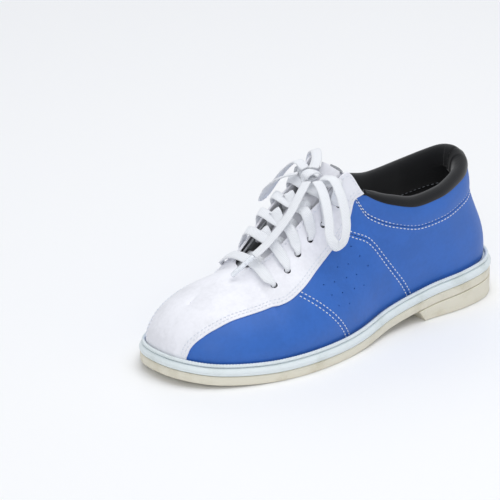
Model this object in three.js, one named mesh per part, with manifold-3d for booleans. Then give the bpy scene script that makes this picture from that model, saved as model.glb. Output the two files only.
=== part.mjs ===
import * as THREE from "three";
import { mergeVertices } from "three/addons/utils/BufferGeometryUtils.js";
import Module from "manifold-3d";

const wasm = await Module();
wasm.setup();

// A left bowling shoe. Millimetres, +X to the heel, +Y to the inner side of the foot, +Z up.
// The origin is on the floor, under the middle of the sole.

// Driving dimensions
const gap = 0.3;                  // clearance between neighbouring pieces
const layerGap = 0.5;             // clearance between the layers of the upper
const soleLength = 293;
const ballWidth = 110;            // width of the sole at the ball of the foot
const heelWidth = 68.5;
const outsoleThickness = 6.5;
const sidewallHeight = 5.3;
const heelBreast = 56;            // X of the front of the heel block
const featherInset = 6.5;         // from the edge of the sole to the foot of the upper
const beadRadius = 1.2;
const panelThickness = 1.4;
const vampRise = 0.9;             // the white vamp stands proud of the blue panels
const backingThickness = 1.2;
const counterThickness = 1.2;
const liningThickness = 1.2;
const collarPadding = 6;
const collarRoll = 6;             // height of the black roll above the blue collar band
const heelRoll = 9;               // and its height at the back
const boardThickness = 2;
const linerThickness = 3.5;
const shankWidth = 14;
const shankThickness = 1.4;
const padThickness = 1.4;
const padInset = 10;
const tongueSkin = 1.1;
const tonguePadding = 3.4;
const eyeletPairs = 6;
const eyeletSetback = 14;         // from the edge of the facing to the eyelet row
const eyeletSpread = 3.5;         // extra setback of each of the two lowest pairs, per pair
const eyeletBore = 2.2;
const eyeletWall = 0.5;
const laceWidth = 7.5;
const laceThickness = 1.5;
const aglet = { length: 20, radius: 1.7 };

const halfLength = soleLength / 2;
const up = new THREE.Vector3(0, 0, 1);

// A smooth curve through [at, value] points that never overshoots them.
function through(points, flatEnds = false) {
  const last = points.length - 1;
  const rise = (i) => (points[i + 1][1] - points[i][1]) / (points[i + 1][0] - points[i][0]);
  const slope = points.map((point, i) => {
    if (i === 0 || i === last) return flatEnds ? 0 : rise(Math.min(i, last - 1));
    const before = rise(i - 1);
    const after = rise(i);
    return before * after <= 0 ? 0 : (2 * before * after) / (before + after);
  });
  return (at) => {
    let i = 0;
    while (i < last - 1 && at > points[i + 1][0]) i += 1;
    const span = points[i + 1][0] - points[i][0];
    const t = THREE.MathUtils.clamp((at - points[i][0]) / span, 0, 1);
    const rest = 1 - t;
    return (1 + 2 * t) * rest * rest * points[i][1] + t * rest * rest * span * slope[i]
      + t * t * (3 - 2 * t) * points[i + 1][1] - t * t * rest * span * slope[i + 1];
  };
}

// Sole outline: [share of half the length, share of half the local width], toe to heel
const outerEdge = [[-1, 0.05], [-0.978, -0.3], [-0.89, -0.64], [-0.71, -0.91], [-0.48, -1.05],
  [-0.26, -1.04], [-0.03, -1.03], [0.2, -1.01], [0.45, -1.05], [0.69, -1.03], [0.87, -0.81],
  [0.966, -0.42], [1, 0]];
const innerEdge = [[-0.976, 0.4], [-0.885, 0.7], [-0.717, 0.91], [-0.497, 0.95], [-0.276, 0.86],
  [-0.03, 0.78], [0.2, 0.78], [0.45, 0.93], [0.69, 1.01], [0.87, 0.81], [0.966, 0.42]];
const localWidth = through([[-0.3, ballWidth], [0.42, heelWidth]], true);
const outlinePoints = [...outerEdge, ...innerEdge.reverse()].map(([along, across]) =>
  new THREE.Vector3(along * halfLength, across * localWidth(along) / 2, 0));
const widest = outlinePoints.map((point) => point.y);
const sideShift = (Math.max(...widest) + Math.min(...widest)) / 2;
outlinePoints.forEach((point) => { point.y -= sideShift; });
const outline = new THREE.CatmullRomCurve3(outlinePoints, true, "centripetal");
outline.arcLengthDivisions = 960;
const outlineLengths = outline.getLengths(960);
const heelPole = outlineLengths[Math.round(960 * (outerEdge.length - 1) / outlinePoints.length)]
  / outlineLengths[960];

// A place on the outline. side runs from -1 (heel) by the outer side to 0 (toe),
// then by the inner side to 1 (heel again).
function edgePoint(side, inset) {
  const at = ((side + 3) % 2) - 1;
  const share = at < 0 ? -at * heelPole : 1 - at * (1 - heelPole);
  const wrapped = (share + 1) % 1;
  const point = outline.getPointAt(wrapped);
  const along = outline.getTangentAt(wrapped);
  const outward = new THREE.Vector3(along.y, -along.x, 0).normalize();
  return { point: point.addScaledVector(outward, -inset), outward };
}

// Half widths of the inset outline at a given X, from a fine walk along it
const edgeWalks = new Map();
function edgeWalk(inset) {
  const key = inset.toFixed(3);
  if (!edgeWalks.has(key)) {
    const steps = 240;
    const walk = (sign) => Array.from({ length: steps + 1 }, (_, i) =>
      edgePoint(sign * Math.min(i / steps, 1 - 1e-9), inset).point);
    edgeWalks.set(key, { outer: walk(-1), inner: walk(1) });
  }
  return edgeWalks.get(key);
}
function edgeY(walk, x) {
  const next = walk.findIndex((point, i) => i > 0 && point.x >= x);
  if (next < 0) return walk[walk.length - 1].y;
  const [a, b] = [walk[next - 1], walk[next]];
  return THREE.MathUtils.lerp(a.y, b.y, THREE.MathUtils.clamp((x - a.x) / (b.x - a.x || 1), 0, 1));
}

// Heights along the sole: the tread lifts at the toe and over the waist to the heel
const tread = through([[-1, 5.5], [-0.83, 2.2], [-0.66, 0.6], [-0.54, 0], [-0.14, 0], [0.02, 1.4],
  [0.18, 4.2], [0.36, 8], [0.55, 11.4], [0.76, 13.2], [1, 14]]);
const treadZ = (x) => tread(x / halfLength);
const sidewallBase = (x) => treadZ(x) + outsoleThickness + gap;
const featherZ = (x) => sidewallBase(x) + sidewallHeight;

// The top edge of the upper, by the share of the way from toe (0) to heel (1): along the ridge
// of the vamp, up the facings, over their tops and round the collar
const throat = 0.3;
const facingEnd = 0.645;          // the rear corner of the facing
const crestX = through([[0, -114], [0.1, -107], [0.2, -92], [0.3, -72], [0.4, -49.5], [0.5, -27],
  [0.57, -8], [0.61, 5], [0.65, 18], [0.7, 37], [0.75, 58], [0.8, 79], [0.85, 97], [0.9, 110.5],
  [0.95, 118.5], [1, 121.5]], true);
const crestZ = through([[0, 46], [0.1, 50.5], [0.2, 56.5], [0.3, 61], [0.35, 67], [0.4, 74.5],
  [0.5, 93], [0.57, 106.5], [0.61, 118.5], [0.65, 100.6], [0.7, 90.6], [0.75, 85.8], [0.8, 87.6],
  [0.85, 91], [0.9, 94], [0.95, 96.5], [1, 98]], true);
const crestHalf = through([[0, 0], [0.3, 0], [0.315, 7], [0.34, 11.5], [0.45, 15], [0.57, 16],
  [0.61, 18.5], [0.65, 22], [0.7, 27], [0.75, 29], [0.8, 28], [0.85, 23.5], [0.9, 17], [0.95, 9], [1, 0]]);
const crestMiddle = through([[0, 4], [0.3, 7], [0.6, 4], [0.8, -1], [1, -1]]);
const innerLift = through([[0, 0], [0.32, 0], [0.45, 3], [0.6, 2], [0.7, 3], [0.8, 4.5], [0.9, 5.5],
  [0.95, 3.5], [1, 0]]);
const wallBulge = through([[0, 3], [0.2, 6], [0.4, 6], [0.6, 3], [0.8, 2], [1, 4]]);
const crestLean = through([[0, 0], [0.3, 0.12], [0.45, 0.5], [0.62, 0.95], [0.7, 1], [1, 1]]);

const turned = (side) => ((side + 3) % 2) - 1;
const shareOf = (side) => Math.abs(turned(side));
function crest(side) {
  const at = turned(side);
  const share = Math.abs(at);
  const sign = at < 0 ? -1 : 1;
  const lift = sign > 0 ? innerLift(share) : 0;
  return new THREE.Vector3(crestX(share), crestMiddle(share) + sign * crestHalf(share),
    crestZ(share) + lift);
}

// The outer surface of the upper: rise 0 is its foot, rise 1 the crest
function upper(side, rise) {
  const share = shareOf(side);
  const { point: foot, outward } = edgePoint(side, featherInset);
  foot.z = featherZ(foot.x) + gap;
  const top = crest(side);
  const height = top.z - foot.z;
  const flat = new THREE.Vector3(foot.x - top.x, foot.y - top.y, 0);
  const lean = crestLean(share) * Math.PI / 2;
  const low = foot.clone().addScaledVector(up, height * 0.42).addScaledVector(outward, wallBulge(share));
  const high = top.clone().addScaledVector(flat, 0.5 * Math.cos(lean))
    .addScaledVector(up, -0.42 * height * Math.sin(lean));
  const s = 1 - rise;
  return new THREE.Vector3().addScaledVector(foot, s * s * s).addScaledVector(low, 3 * s * s * rise)
    .addScaledVector(high, 3 * s * rise * rise).addScaledVector(top, rise * rise * rise);
}
function upperNormal(side, rise) {
  const at = Math.min(rise, 0.97);
  const along = upper(side + 0.004, at).sub(upper(side - 0.004, at));
  const climb = upper(side, at + 0.01).sub(upper(side, at - 0.01));
  return climb.cross(along).normalize();
}
function upperLength(side) {
  let length = 0;
  for (let i = 0; i < 8; i += 1) length += upper(side, i / 8).distanceTo(upper(side, (i + 1) / 8));
  return length;
}
// offset is measured outwards from the blue panels' outer face
const onUpper = (side, rise, offset) =>
  upper(side, rise).addScaledVector(upperNormal(side, rise), offset);
// a point a given way below the crest (down > 0) or above it
function nearCrest(side, down, offset) {
  if (down >= 0) return onUpper(side, 1 - down / upperLength(side), offset);
  const climb = upper(side, 1).sub(upper(side, 0.97)).normalize();
  return onUpper(side, 1, offset).addScaledVector(climb, -down);
}

// ---- solids ----
function closed(geometry) {
  geometry.deleteAttribute("normal");
  geometry.deleteAttribute("uv");
  return mergeVertices(geometry, 1e-4);
}
function bend(geometry, place) {
  const positions = geometry.attributes.position;
  const point = new THREE.Vector3();
  for (let i = 0; i < positions.count; i += 1) {
    point.fromBufferAttribute(positions, i);
    const moved = place(point);
    positions.setXYZ(i, moved.x, moved.y, moved.z);
  }
  return facingOut(closed(geometry));
}
function signedVolume(geometry) {
  const index = geometry.index;
  const positions = geometry.attributes.position;
  const corner = [0, 1, 2].map(() => new THREE.Vector3());
  let volume = 0;
  for (let i = 0; i < index.count; i += 3) {
    corner.forEach((vertex, k) => vertex.fromBufferAttribute(positions, index.getX(i + k)));
    volume += corner[0].dot(corner[1].clone().cross(corner[2])) / 6;
  }
  return volume;
}
function facingOut(geometry) {
  if (signedVolume(geometry) > 0) return geometry;
  const index = geometry.index;
  for (let i = 0; i < index.count; i += 3) {
    const second = index.getX(i + 1);
    index.setX(i + 1, index.getX(i + 2));
    index.setX(i + 2, second);
  }
  return geometry;
}
function solid(geometry) {
  const positions = geometry.attributes.position;
  return new wasm.Manifold(new wasm.Mesh({
    numProp: 3,
    vertProperties: Float32Array.from(positions.array),
    triVerts: Uint32Array.from(geometry.index.array),
  }));
}
function fromSolid(body) {
  const mesh = body.getMesh();
  const geometry = new THREE.BufferGeometry();
  geometry.setAttribute("position", new THREE.BufferAttribute(Float32Array.from(mesh.vertProperties), 3));
  geometry.setIndex(new THREE.BufferAttribute(Uint32Array.from(mesh.triVerts), 1));
  return geometry;
}
const joined = (a, b) => fromSolid(solid(a).add(solid(b)));
// what is left of a body after the tools, without the crumbs that a cut leaves beside a seam
function cut(body, tools) {
  const rest = tools.reduce((left, tool) => left.subtract(solid(tool)), solid(body));
  const bodies = rest.decompose().sort((a, b) => b.volume() - a.volume());
  return fromSolid(bodies[0]);
}

// A sheet on the upper between two side values, a lower and an upper rise, and two offsets
function sheet({ from, to, low, high, outer, inner, columns, rows }) {
  return bend(new THREE.BoxGeometry(1, 1, 1, columns, rows, 1), (p) => {
    const across = p.y + 0.5;
    const side = THREE.MathUtils.lerp(from(across), to(across), p.x + 0.5);
    const rise = THREE.MathUtils.lerp(low(side), high(side), across);
    return onUpper(side, rise, p.z > 0 ? outer(side, rise) : inner(side, rise));
  });
}
// A slab of the sole between two X values; inset depends on the height share
function slab({ from = -Infinity, to = Infinity, inset, bottom, top, columns = 32, layers = 1 }) {
  const tipGap = 0.4;
  return bend(new THREE.BoxGeometry(1, 1, 1, columns, 1, layers), (p) => {
    const level = p.z + 0.5;
    const { outer, inner } = edgeWalk(inset(level));
    const start = Math.max(from, outer[0].x + tipGap);
    const end = Math.min(to, outer[outer.length - 1].x - tipGap);
    const along = (1 - Math.cos(Math.PI * (p.x + 0.5))) / 2;
    const x = THREE.MathUtils.lerp(start, end, along);
    const y = THREE.MathUtils.lerp(edgeY(outer, x), edgeY(inner, x), p.y + 0.5);
    return new THREE.Vector3(x, y, THREE.MathUtils.lerp(bottom(x), top(x), level));
  });
}
// A section swept along rings; each ring places a section point [across, through]
function sweep(section, rings, place) {
  const shape = new THREE.Shape(section.map(([a, b]) => new THREE.Vector2(a, b)));
  const settings = { depth: 1, steps: rings - 1, bevelEnabled: false, curveSegments: 1 };
  const geometry = new THREE.ExtrudeGeometry(shape, settings);
  return bend(geometry, (p) => place(Math.round(p.z * (rings - 1)), p.x, p.y));
}

const group = new THREE.Group();
function add(name, geometry, material) {
  const mesh = new THREE.Mesh(geometry, new THREE.MeshStandardMaterial(material));
  mesh.name = name;
  group.add(mesh);
}

// ---- bottom unit ----
const cream = { color: 0xdedac8, roughness: 0.6, metalness: 0 };
const white = { color: 0xf0f0f6, roughness: 0.45, metalness: 0 };
const blue = { color: 0x3a6eb9, roughness: 0.5, metalness: 0 };
const black = { color: 0x101216, roughness: 0.9, metalness: 0 };
const grey = { color: 0xb8b8b4, roughness: 0.9, metalness: 0 };

const pad = { from: -0.8 * halfLength, to: -0.12 * halfLength };
function buildSole() {
  const edge = () => 1.2;
  const body = slab({ inset: edge, bottom: treadZ, top: (x) => treadZ(x) + outsoleThickness });
  const pocket = slab({
    from: pad.from - gap, to: pad.to + gap, inset: () => padInset - gap,
    bottom: (x) => treadZ(x) - 2, top: (x) => treadZ(x) + padThickness + gap, columns: 16,
  });
  add("outsole", cut(body, [pocket]), cream);
  add("slide_pad", slab({
    from: pad.from, to: pad.to, inset: () => padInset,
    bottom: treadZ, top: (x) => treadZ(x) + padThickness, columns: 16,
  }), grey);
  const breastLean = 7;
  add("heel_block", bend(slab({
    from: heelBreast, inset: () => 1.2, bottom: () => 0, top: (x) => treadZ(x) - gap,
    columns: 14, layers: 3,
  }), (p) => {
    const low = 1 - p.z / treadZ(heelBreast);
    const front = THREE.MathUtils.clamp(1 - (p.x - heelBreast) / 12, 0, 1);
    return new THREE.Vector3(p.x + breastLean * Math.max(low, 0) * front, p.y, p.z);
  }), cream);

  const bulge = (level) => 1.2 - 1.2 * Math.sin(Math.PI * Math.min(1, level * 1.1)) + 1.3 * level;
  const wall = slab({
    inset: (level) => bulge(Math.round(level * 3) / 3), bottom: sidewallBase, top: featherZ, layers: 3,
  });
  const shankSpan = { from: -0.1 * halfLength, to: 0.62 * halfLength };
  const strip = (extra, low, high) => bend(new THREE.BoxGeometry(1, 1, 1, 14, 1, 1), (p) => {
    const x = THREE.MathUtils.lerp(shankSpan.from - extra, shankSpan.to + extra, p.x + 0.5);
    const z = featherZ(x) + (p.z > 0 ? high : low);
    return new THREE.Vector3(x, p.y * (shankWidth + 2 * extra), z);
  });
  const seat = shankThickness + gap;
  add("midsole", cut(wall, [strip(gap, -seat - gap, 3)]), { color: 0xe6edf0, roughness: 0.5 });
  add("shank", strip(0, -seat, -gap), { color: 0x8a8f94, roughness: 0.35, metalness: 1 });

  const beadInset = featherInset - beadRadius - 1.7;
  const bead = new THREE.TorusGeometry(10, 1, 5, 52);
  add("welt_bead", bend(bead, (p) => {
    const around = Math.atan2(p.y, p.x) / Math.PI;
    const reach = Math.hypot(p.x, p.y) - 10;
    const { point } = edgePoint(around, beadInset - reach * beadRadius);
    const base = edgePoint(around, beadInset).point;
    point.z = featherZ(base.x) + gap + beadRadius * (1 + p.z);
    return point;
  }), white);

  const boardInset = () => featherInset + panelThickness + counterThickness + liningThickness + 3 * layerGap;
  const boardTop = (x) => featherZ(x) + gap + boardThickness;
  add("insole_board", slab({
    inset: boardInset, bottom: (x) => featherZ(x) + gap, top: boardTop,
  }), { color: 0xa98b62, roughness: 0.9 });
  add("sock_liner", slab({
    inset: () => boardInset() + gap, bottom: (x) => boardTop(x) + gap,
    top: (x) => boardTop(x) + gap + linerThickness,
  }), black);
}

// ---- upper ----
// the share of the rise at which the white vamp meets the blue panels, from toe to facing top
const vampFront = 0.076;
const vampEdge = through([[vampFront, 0.08], [0.087, 0.24], [0.107, 0.35], [0.14, 0.44], [0.2, 0.51],
  [0.28, 0.53], [0.34, 0.54], [0.38, 0.57], [0.45, 0.63], [0.54, 0.67], [0.59, 0.71], [0.62, 0.84],
  [0.65, 1.02]]);
const bandHeight = 15;            // height of the blue band above the collar seam
const footRise = 0.004;
const fixed = (value) => () => value;
const riseGap = (side) => gap / upperLength(side);
const sideGap = gap / 320;
const liningSeam = 0.285;         // where the vamp lining ends, as the share from toe to heel
const heelSteps = 30;             // steps of the pieces that run round the heel

const counterOffset = -panelThickness - layerGap;
const backingOffset = counterOffset - gap;
const liningOffset = counterOffset - counterThickness - layerGap;
const eyeletFlange = backingOffset - backingThickness - layerGap - gap;
const laceUnder = eyeletFlange - eyeletWall - gap - laceThickness / 2;
const laceSecond = laceUnder - laceThickness - gap - 0.2;
const tongueRoom = liningOffset - liningThickness - 2 * layerGap;
const tongueDrop = tongueRoom - laceSecond + laceThickness / 2 + 3 * layerGap;
const laceOver = vampRise + layerGap + laceThickness / 2;

// seams of the blue side, as the share of the way from toe to heel, low and high
const frontSeam = (high) => THREE.MathUtils.lerp(0.472, 0.372, high);
const rearSeam = (high) => THREE.MathUtils.lerp(0.675, 0.575, high);
const bandFront = (high) => THREE.MathUtils.lerp(0.6, 0.653, high);
const collarSeam = (side) => 1 - bandHeight / upperLength(side);
function blueTop(side) {
  const share = shareOf(side);
  const fromVamp = share < facingEnd ? vampEdge(share) : 1;
  return Math.min(fromVamp, share > 0.56 ? collarSeam(side) : 1);
}

// A blue panel, and the room that the white vamp leaves for it
function panel(sign, from, to, columns, low, high) {
  const make = (grow, outer, inner) => sheet({
    from: (t) => sign * (from(t) - grow * sideGap), to: (t) => sign * (to(t) + grow * sideGap),
    low: (side) => low(side) - grow * riseGap(side), high: (side) => high(side) + grow * riseGap(side),
    outer: fixed(outer), inner: fixed(inner), columns, rows: 4,
  });
  return { piece: make(0, 0, -panelThickness), room: make(3.5, 1.6, -2.2) };
}
const rooms = [];
function buildPanels() {
  const top = (side) => blueTop(side) - riseGap(side);
  const spans = [
    ["forepart", fixed(vampFront + 2 * sideGap), (t) => frontSeam(t) - sideGap, 18],
    ["middle", frontSeam, (t) => rearSeam(t) - sideGap, 14],
    ["quarter", rearSeam, fixed(1 - sideGap / 2), 20],
  ];
  for (const [sideName, sign] of [["lateral", -1], ["medial", 1]]) {
    for (const [name, from, to, columns] of spans) {
      const { piece, room } = panel(sign, from, to, columns, fixed(footRise), top);
      rooms.push(room, piece);
      add(`${sideName}_${name}`, piece, blue);
    }
  }
  const low = (side) => collarSeam(side) + 3 * riseGap(side);
  const { piece, room } = panel(-1, bandFront, (t) => 2 - bandFront(t), heelSteps, low, fixed(1));
  rooms.push(room, piece);
  add("collar_band", piece, blue);
}

// eyelet places, from the throat up
const eyeletSide = (pair) => THREE.MathUtils.lerp(0.33, 0.585, pair / (eyeletPairs - 1));
function eyelet(sign, pair) {
  const side = sign * eyeletSide(pair);
  const setback = eyeletSetback + eyeletSpread * Math.max(0, 2 - pair);
  const rise = 1 - setback / upperLength(side);
  return { side, rise, point: upper(side, rise), normal: upperNormal(side, rise) };
}
const eyelets = [-1, 1].flatMap((sign) =>
  Array.from({ length: eyeletPairs }, (_, pair) => ({ sign, pair, ...eyelet(sign, pair) })));
function onAxis(geometry, { point, normal }) {
  const turn = new THREE.Quaternion().setFromUnitVectors(new THREE.Vector3(0, 1, 0), normal);
  return bend(geometry, (p) => p.clone().applyQuaternion(turn).add(point));
}
const eyeletRoom = eyeletBore + eyeletWall + gap;
const eyeletHole = (place) =>
  onAxis(new THREE.CylinderGeometry(eyeletRoom, eyeletRoom, 12, 10), place);

function buildVamp() {
  const past = 1.02;
  const half = (sign, outer, thickness, to, high, columns, rows) => sheet({
    from: fixed(-sign * 0.003), to: fixed(sign * to), low: fixed(footRise), high,
    outer: fixed(outer), inner: fixed(outer - thickness), columns, rows,
  });
  const both = (...values) => joined(half(-1, ...values), half(1, ...values));
  const open = (side) => (shareOf(side) < throat ? past : 1);
  const holes = eyelets.map(eyeletHole);
  const shell = both(vampRise, vampRise + panelThickness, 0.642, open, 26, 6);
  add("vamp", cut(shell, [...rooms, ...holes]), white);
  add("vamp_lining", both(liningOffset, liningThickness, liningSeam, fixed(past), 12, 6), grey);

  for (const [sideName, sign] of [["lateral", -1], ["medial", 1]]) {
    const backing = sheet({
      from: fixed(sign * (throat + 0.03)), to: fixed(sign * 0.6),
      low: (side) => Math.min(vampEdge(shareOf(side)), 0.8) + 0.03, high: fixed(0.985),
      outer: fixed(backingOffset), inner: fixed(backingOffset - backingThickness), columns: 14, rows: 3,
    });
    add(`${sideName}_facing_backing`, cut(backing, holes), grey);
  }
  for (const place of eyelets) {
    const sideName = place.sign < 0 ? "lateral" : "medial";
    const outerRadius = eyeletBore + eyeletWall;
    const section = [[eyeletBore, eyeletFlange - eyeletWall], [outerRadius + 1.1, eyeletFlange - eyeletWall],
      [outerRadius + 1.1, eyeletFlange], [outerRadius, eyeletFlange], [outerRadius, 0],
      [eyeletBore, 0], [eyeletBore, eyeletFlange - eyeletWall]];
    const ring = new THREE.LatheGeometry(section.map(([r, h]) => new THREE.Vector2(r, h)), 10);
    add(`${sideName}_eyelet_${place.pair + 1}`, onAxis(ring, place), { color: 0x30343a, roughness: 0.5 });
  }
}

function buildStiffeners() {
  add("toe_puff", sheet({
    from: fixed(-0.16), to: fixed(0.16), low: fixed(0.03), high: fixed(0.75),
    outer: fixed(counterOffset), inner: fixed(counterOffset - counterThickness), columns: 14, rows: 5,
  }), { color: 0xd8c8a8, roughness: 0.8 });
  add("heel_counter", sheet({
    from: fixed(-0.8), to: fixed(-1.2), low: fixed(0.03), high: fixed(0.55),
    outer: fixed(counterOffset), inner: fixed(counterOffset - counterThickness), columns: 18, rows: 3,
  }), { color: 0xd8c8a8, roughness: 0.8 });
  const liningTop = (side) => (shareOf(side) < 0.6 ? 0.52 : collarSeam(side) - riseGap(side));
  add("quarter_lining", sheet({
    from: fixed(-liningSeam - sideGap), to: fixed(liningSeam + sideGap - 2),
    low: fixed(footRise), high: liningTop,
    outer: fixed(liningOffset), inner: fixed(liningOffset - liningThickness), columns: 48, rows: 3,
  }), grey);
}

// Collar sections: [way below the top of the blue band, offset]
function buildCollar() {
  const inside = liningOffset - liningThickness - layerGap;
  const rollAt = through([[0.66, 0.7], [0.72, 1], [0.82, 1], [1, heelRoll / collarRoll]], true);
  const deep = -panelThickness - gap - collarPadding;
  const skin = liningThickness;
  const collarStart = 0.66;
  const cover = [[-gap, 0], [-0.5 * collarRoll, -0.2], [-0.9 * collarRoll, -1.8],
    [-collarRoll - 0.4, deep / 2 - 0.6], [-0.9 * collarRoll, deep], [-0.5 * collarRoll, deep - 1.4],
    [0.2 * bandHeight, deep - 2], [0.6 * bandHeight, deep - 1.6], [bandHeight - 1, inside - skin - 0.9],
    [bandHeight + 6, inside - skin], [bandHeight + 6, inside], [bandHeight - 0.5, inside - 0.3],
    [0.6 * bandHeight, deep - 0.4], [0.2 * bandHeight, deep - 0.8], [-0.4 * collarRoll, deep - 0.2],
    [-0.75 * collarRoll, deep + 1.1], [-0.87 * collarRoll, deep / 2 - 0.6], [-0.75 * collarRoll, -2.7],
    [-0.42 * collarRoll, -1.5], [-gap, -panelThickness]];
  const foam = [[bandHeight - 2, counterOffset], [bandHeight / 2, counterOffset], [0, counterOffset],
    [-0.36 * collarRoll, -2.3], [-0.66 * collarRoll, -3.1], [-0.78 * collarRoll, deep / 2 - 0.6],
    [-0.66 * collarRoll, deep + 1.4], [-0.36 * collarRoll, deep + 0.2], [0.2 * bandHeight, deep - 0.4],
    [0.58 * bandHeight, deep], [bandHeight - 2, inside - 0.1]];
  const ringed = (section, start, rings) => sweep(section, rings, (ring, down, offset) => {
    const side = THREE.MathUtils.lerp(-start, start - 2, ring / (rings - 1));
    return nearCrest(side, down < 0 ? down * rollAt(shareOf(side)) : down, offset);
  });
  add("collar_lining", ringed(cover, collarStart, heelSteps + 1), black);
  add("collar_foam", ringed(foam, collarStart + 0.002, heelSteps + 1), { color: 0xe8d890, roughness: 1 });
}

// ---- tongue ----
const tongueBase = 0.22;
const tongueTop = 0.6;
const tongueWing = 22;            // how far the tongue reaches under each facing
const meanNormal = (share, rise) =>
  upperNormal(share, rise).add(upperNormal(-share, rise)).normalize();
// The surface that closes the throat between the facings: across runs from -1 to 1
function onBridge(share, across, offset) {
  const half = crestHalf(share);
  const open = half / (half + tongueWing);
  const reach = Math.abs(across);
  if (reach >= open) {
    const side = Math.sign(across || 1) * share;
    const down = (tongueWing * (reach - open)) / (1 - open);
    return onUpper(side, 1 - down / upperLength(side), offset);
  }
  const mix = (across / open + 1) / 2;
  return onUpper(-share, 1, offset).lerp(onUpper(share, 1, offset), mix);
}
// the direction in which the tongue's layers lie on each other
function bridgeNormal(share, across) {
  const half = crestHalf(share);
  const open = half / (half + tongueWing);
  const mix = THREE.MathUtils.clamp((across / (open + 1e-6) + 1) / 2, 0, 1);
  const local = upperNormal(-share, 0.9).multiplyScalar(1 - mix)
    .addScaledVector(upperNormal(share, 0.9), mix);
  return local.add(meanNormal(share, 0.8)).normalize();
}
function buildTongue() {
  const layer = (name, depth, thickness, inset, material) => {
    const box = new THREE.BoxGeometry(1, 1, 1, 11, 8, 1);
    add(name, bend(box, (p) => {
      const along = THREE.MathUtils.lerp(tongueBase, tongueTop, p.x + 0.5);
      const share = THREE.MathUtils.clamp(along, tongueBase + inset * 0.005, tongueTop - inset * 0.005);
      const across = THREE.MathUtils.clamp(2 * p.y, inset * 0.07 - 1, 1 - inset * 0.07);
      const drop = p.z > 0 ? depth : depth + thickness;
      return onBridge(share, across, tongueRoom).addScaledVector(bridgeNormal(share, across), -drop);
    }), material);
  };
  const foamDrop = tongueDrop + tongueSkin + 2 * layerGap;
  const liningDrop = foamDrop + tonguePadding + 2 * layerGap;
  layer("tongue_outer", tongueDrop, tongueSkin, 0, white);
  layer("tongue_foam", foamDrop, tonguePadding, 1, { color: 0xe8d890, roughness: 1 });
  layer("tongue_lining", liningDrop, tongueSkin, 0, grey);
}

// ---- lace ----
const bunched = { width: 3.6, thickness: 2 };
const flat = { width: laceWidth, thickness: laceThickness };
const laceSection = Array.from({ length: 8 }, (_, i) => {
  const turn = (Math.PI * (i + 0.5)) / 4;
  return [0.5 * Math.cos(turn) / Math.cos(Math.PI / 8), 0.5 * Math.sin(turn) / Math.sin(Math.PI * 3 / 8)];
});
// stops: { point, across, size }; the lace is bent along them
function ribbon(stops) {
  const ahead = stops.map((stop, i) => {
    const next = stops[Math.min(i + 1, stops.length - 1)].point;
    const before = stops[Math.max(i - 1, 0)].point;
    return next.clone().sub(before).normalize();
  });
  const sides = stops.map(({ across }, i) =>
    across.clone().addScaledVector(ahead[i], -across.dot(ahead[i])).normalize());
  sides.forEach((side, i) => {
    if (i > 0 && side.dot(sides[i - 1]) < 0) side.negate();
  });
  return sweep(laceSection, stops.length, (ring, a, b) => {
    const { point, size } = stops[ring];
    const flatAcross = sides[ring];
    const lift = ahead[ring].clone().cross(flatAcross);
    return point.clone().addScaledVector(flatAcross, a * size.width)
      .addScaledVector(lift, b * size.thickness);
  });
}
// stops up through an eyelet, coming from under the facing or ending on top of it
function eyeletStops(place, heading, over) {
  const { point, normal } = place;
  const forward = heading.clone().addScaledVector(normal, -heading.dot(normal)).normalize();
  const across = normal.clone().cross(forward);
  const at = (along, offset, size) => ({
    point: point.clone().addScaledVector(forward, along).addScaledVector(normal, offset), across, size,
  });
  return over
    ? [at(0.1, -0.5, bunched), at(0.5, laceOver - 0.5, bunched), at(2.6, laceOver + 0.5, bunched),
      at(6, laceOver + 0.8, flat)]
    : [at(-6, laceUnder, flat), at(-2.6, laceUnder - 0.2, bunched), at(-0.5, laceUnder + 0.7, bunched),
      at(-0.1, eyeletFlange + 0.6, bunched)];
}
const place = (sign, pair) => eyelets.find((one) => one.sign === sign && one.pair === pair);
// one crossing from an eyelet to the next one up on the other side
function crossing(sign, pair, low) {
  const start = place(sign, pair);
  const end = place(-sign, pair + 1);
  const heading = end.point.clone().sub(start.point);
  const inside = pair === 0;
  const share = (start.side * sign + end.side * -sign) / 2;
  const step = (end.side * -sign - start.side * sign) * 0.2;
  const edge = (which, level, shift) => ({
    point: nearCrest(which * (share + shift), -3.2, level), across: null, size: flat,
  });
  const middle = inside ? (low ? laceSecond : laceUnder) : (low ? laceUnder + 0.3 : laceUnder + 2.5);
  const under = eyeletStops(start, heading, false);
  const first = inside
    ? under.reverse().map((stop) => ({ ...stop, point: mirrorAlong(start, heading, stop.point) }))
    : eyeletStops(start, heading, true);
  const last = eyeletStops(end, heading, false);
  const middleStop = { point: onBridge(share, 0, middle), across: null, size: flat };
  const edges = inside
    ? [middleStop]
    : [edge(sign, laceOver + 0.8, -step), middleStop, edge(-sign, laceUnder - 0.6, step)];
  const normal = upperNormal(share, 0.96).add(upperNormal(-share, 0.96)).normalize();
  const across = normal.clone().cross(heading).normalize();
  edges.forEach((stop) => { stop.across = across; });
  return [...first, ...edges, ...last];
}
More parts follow.
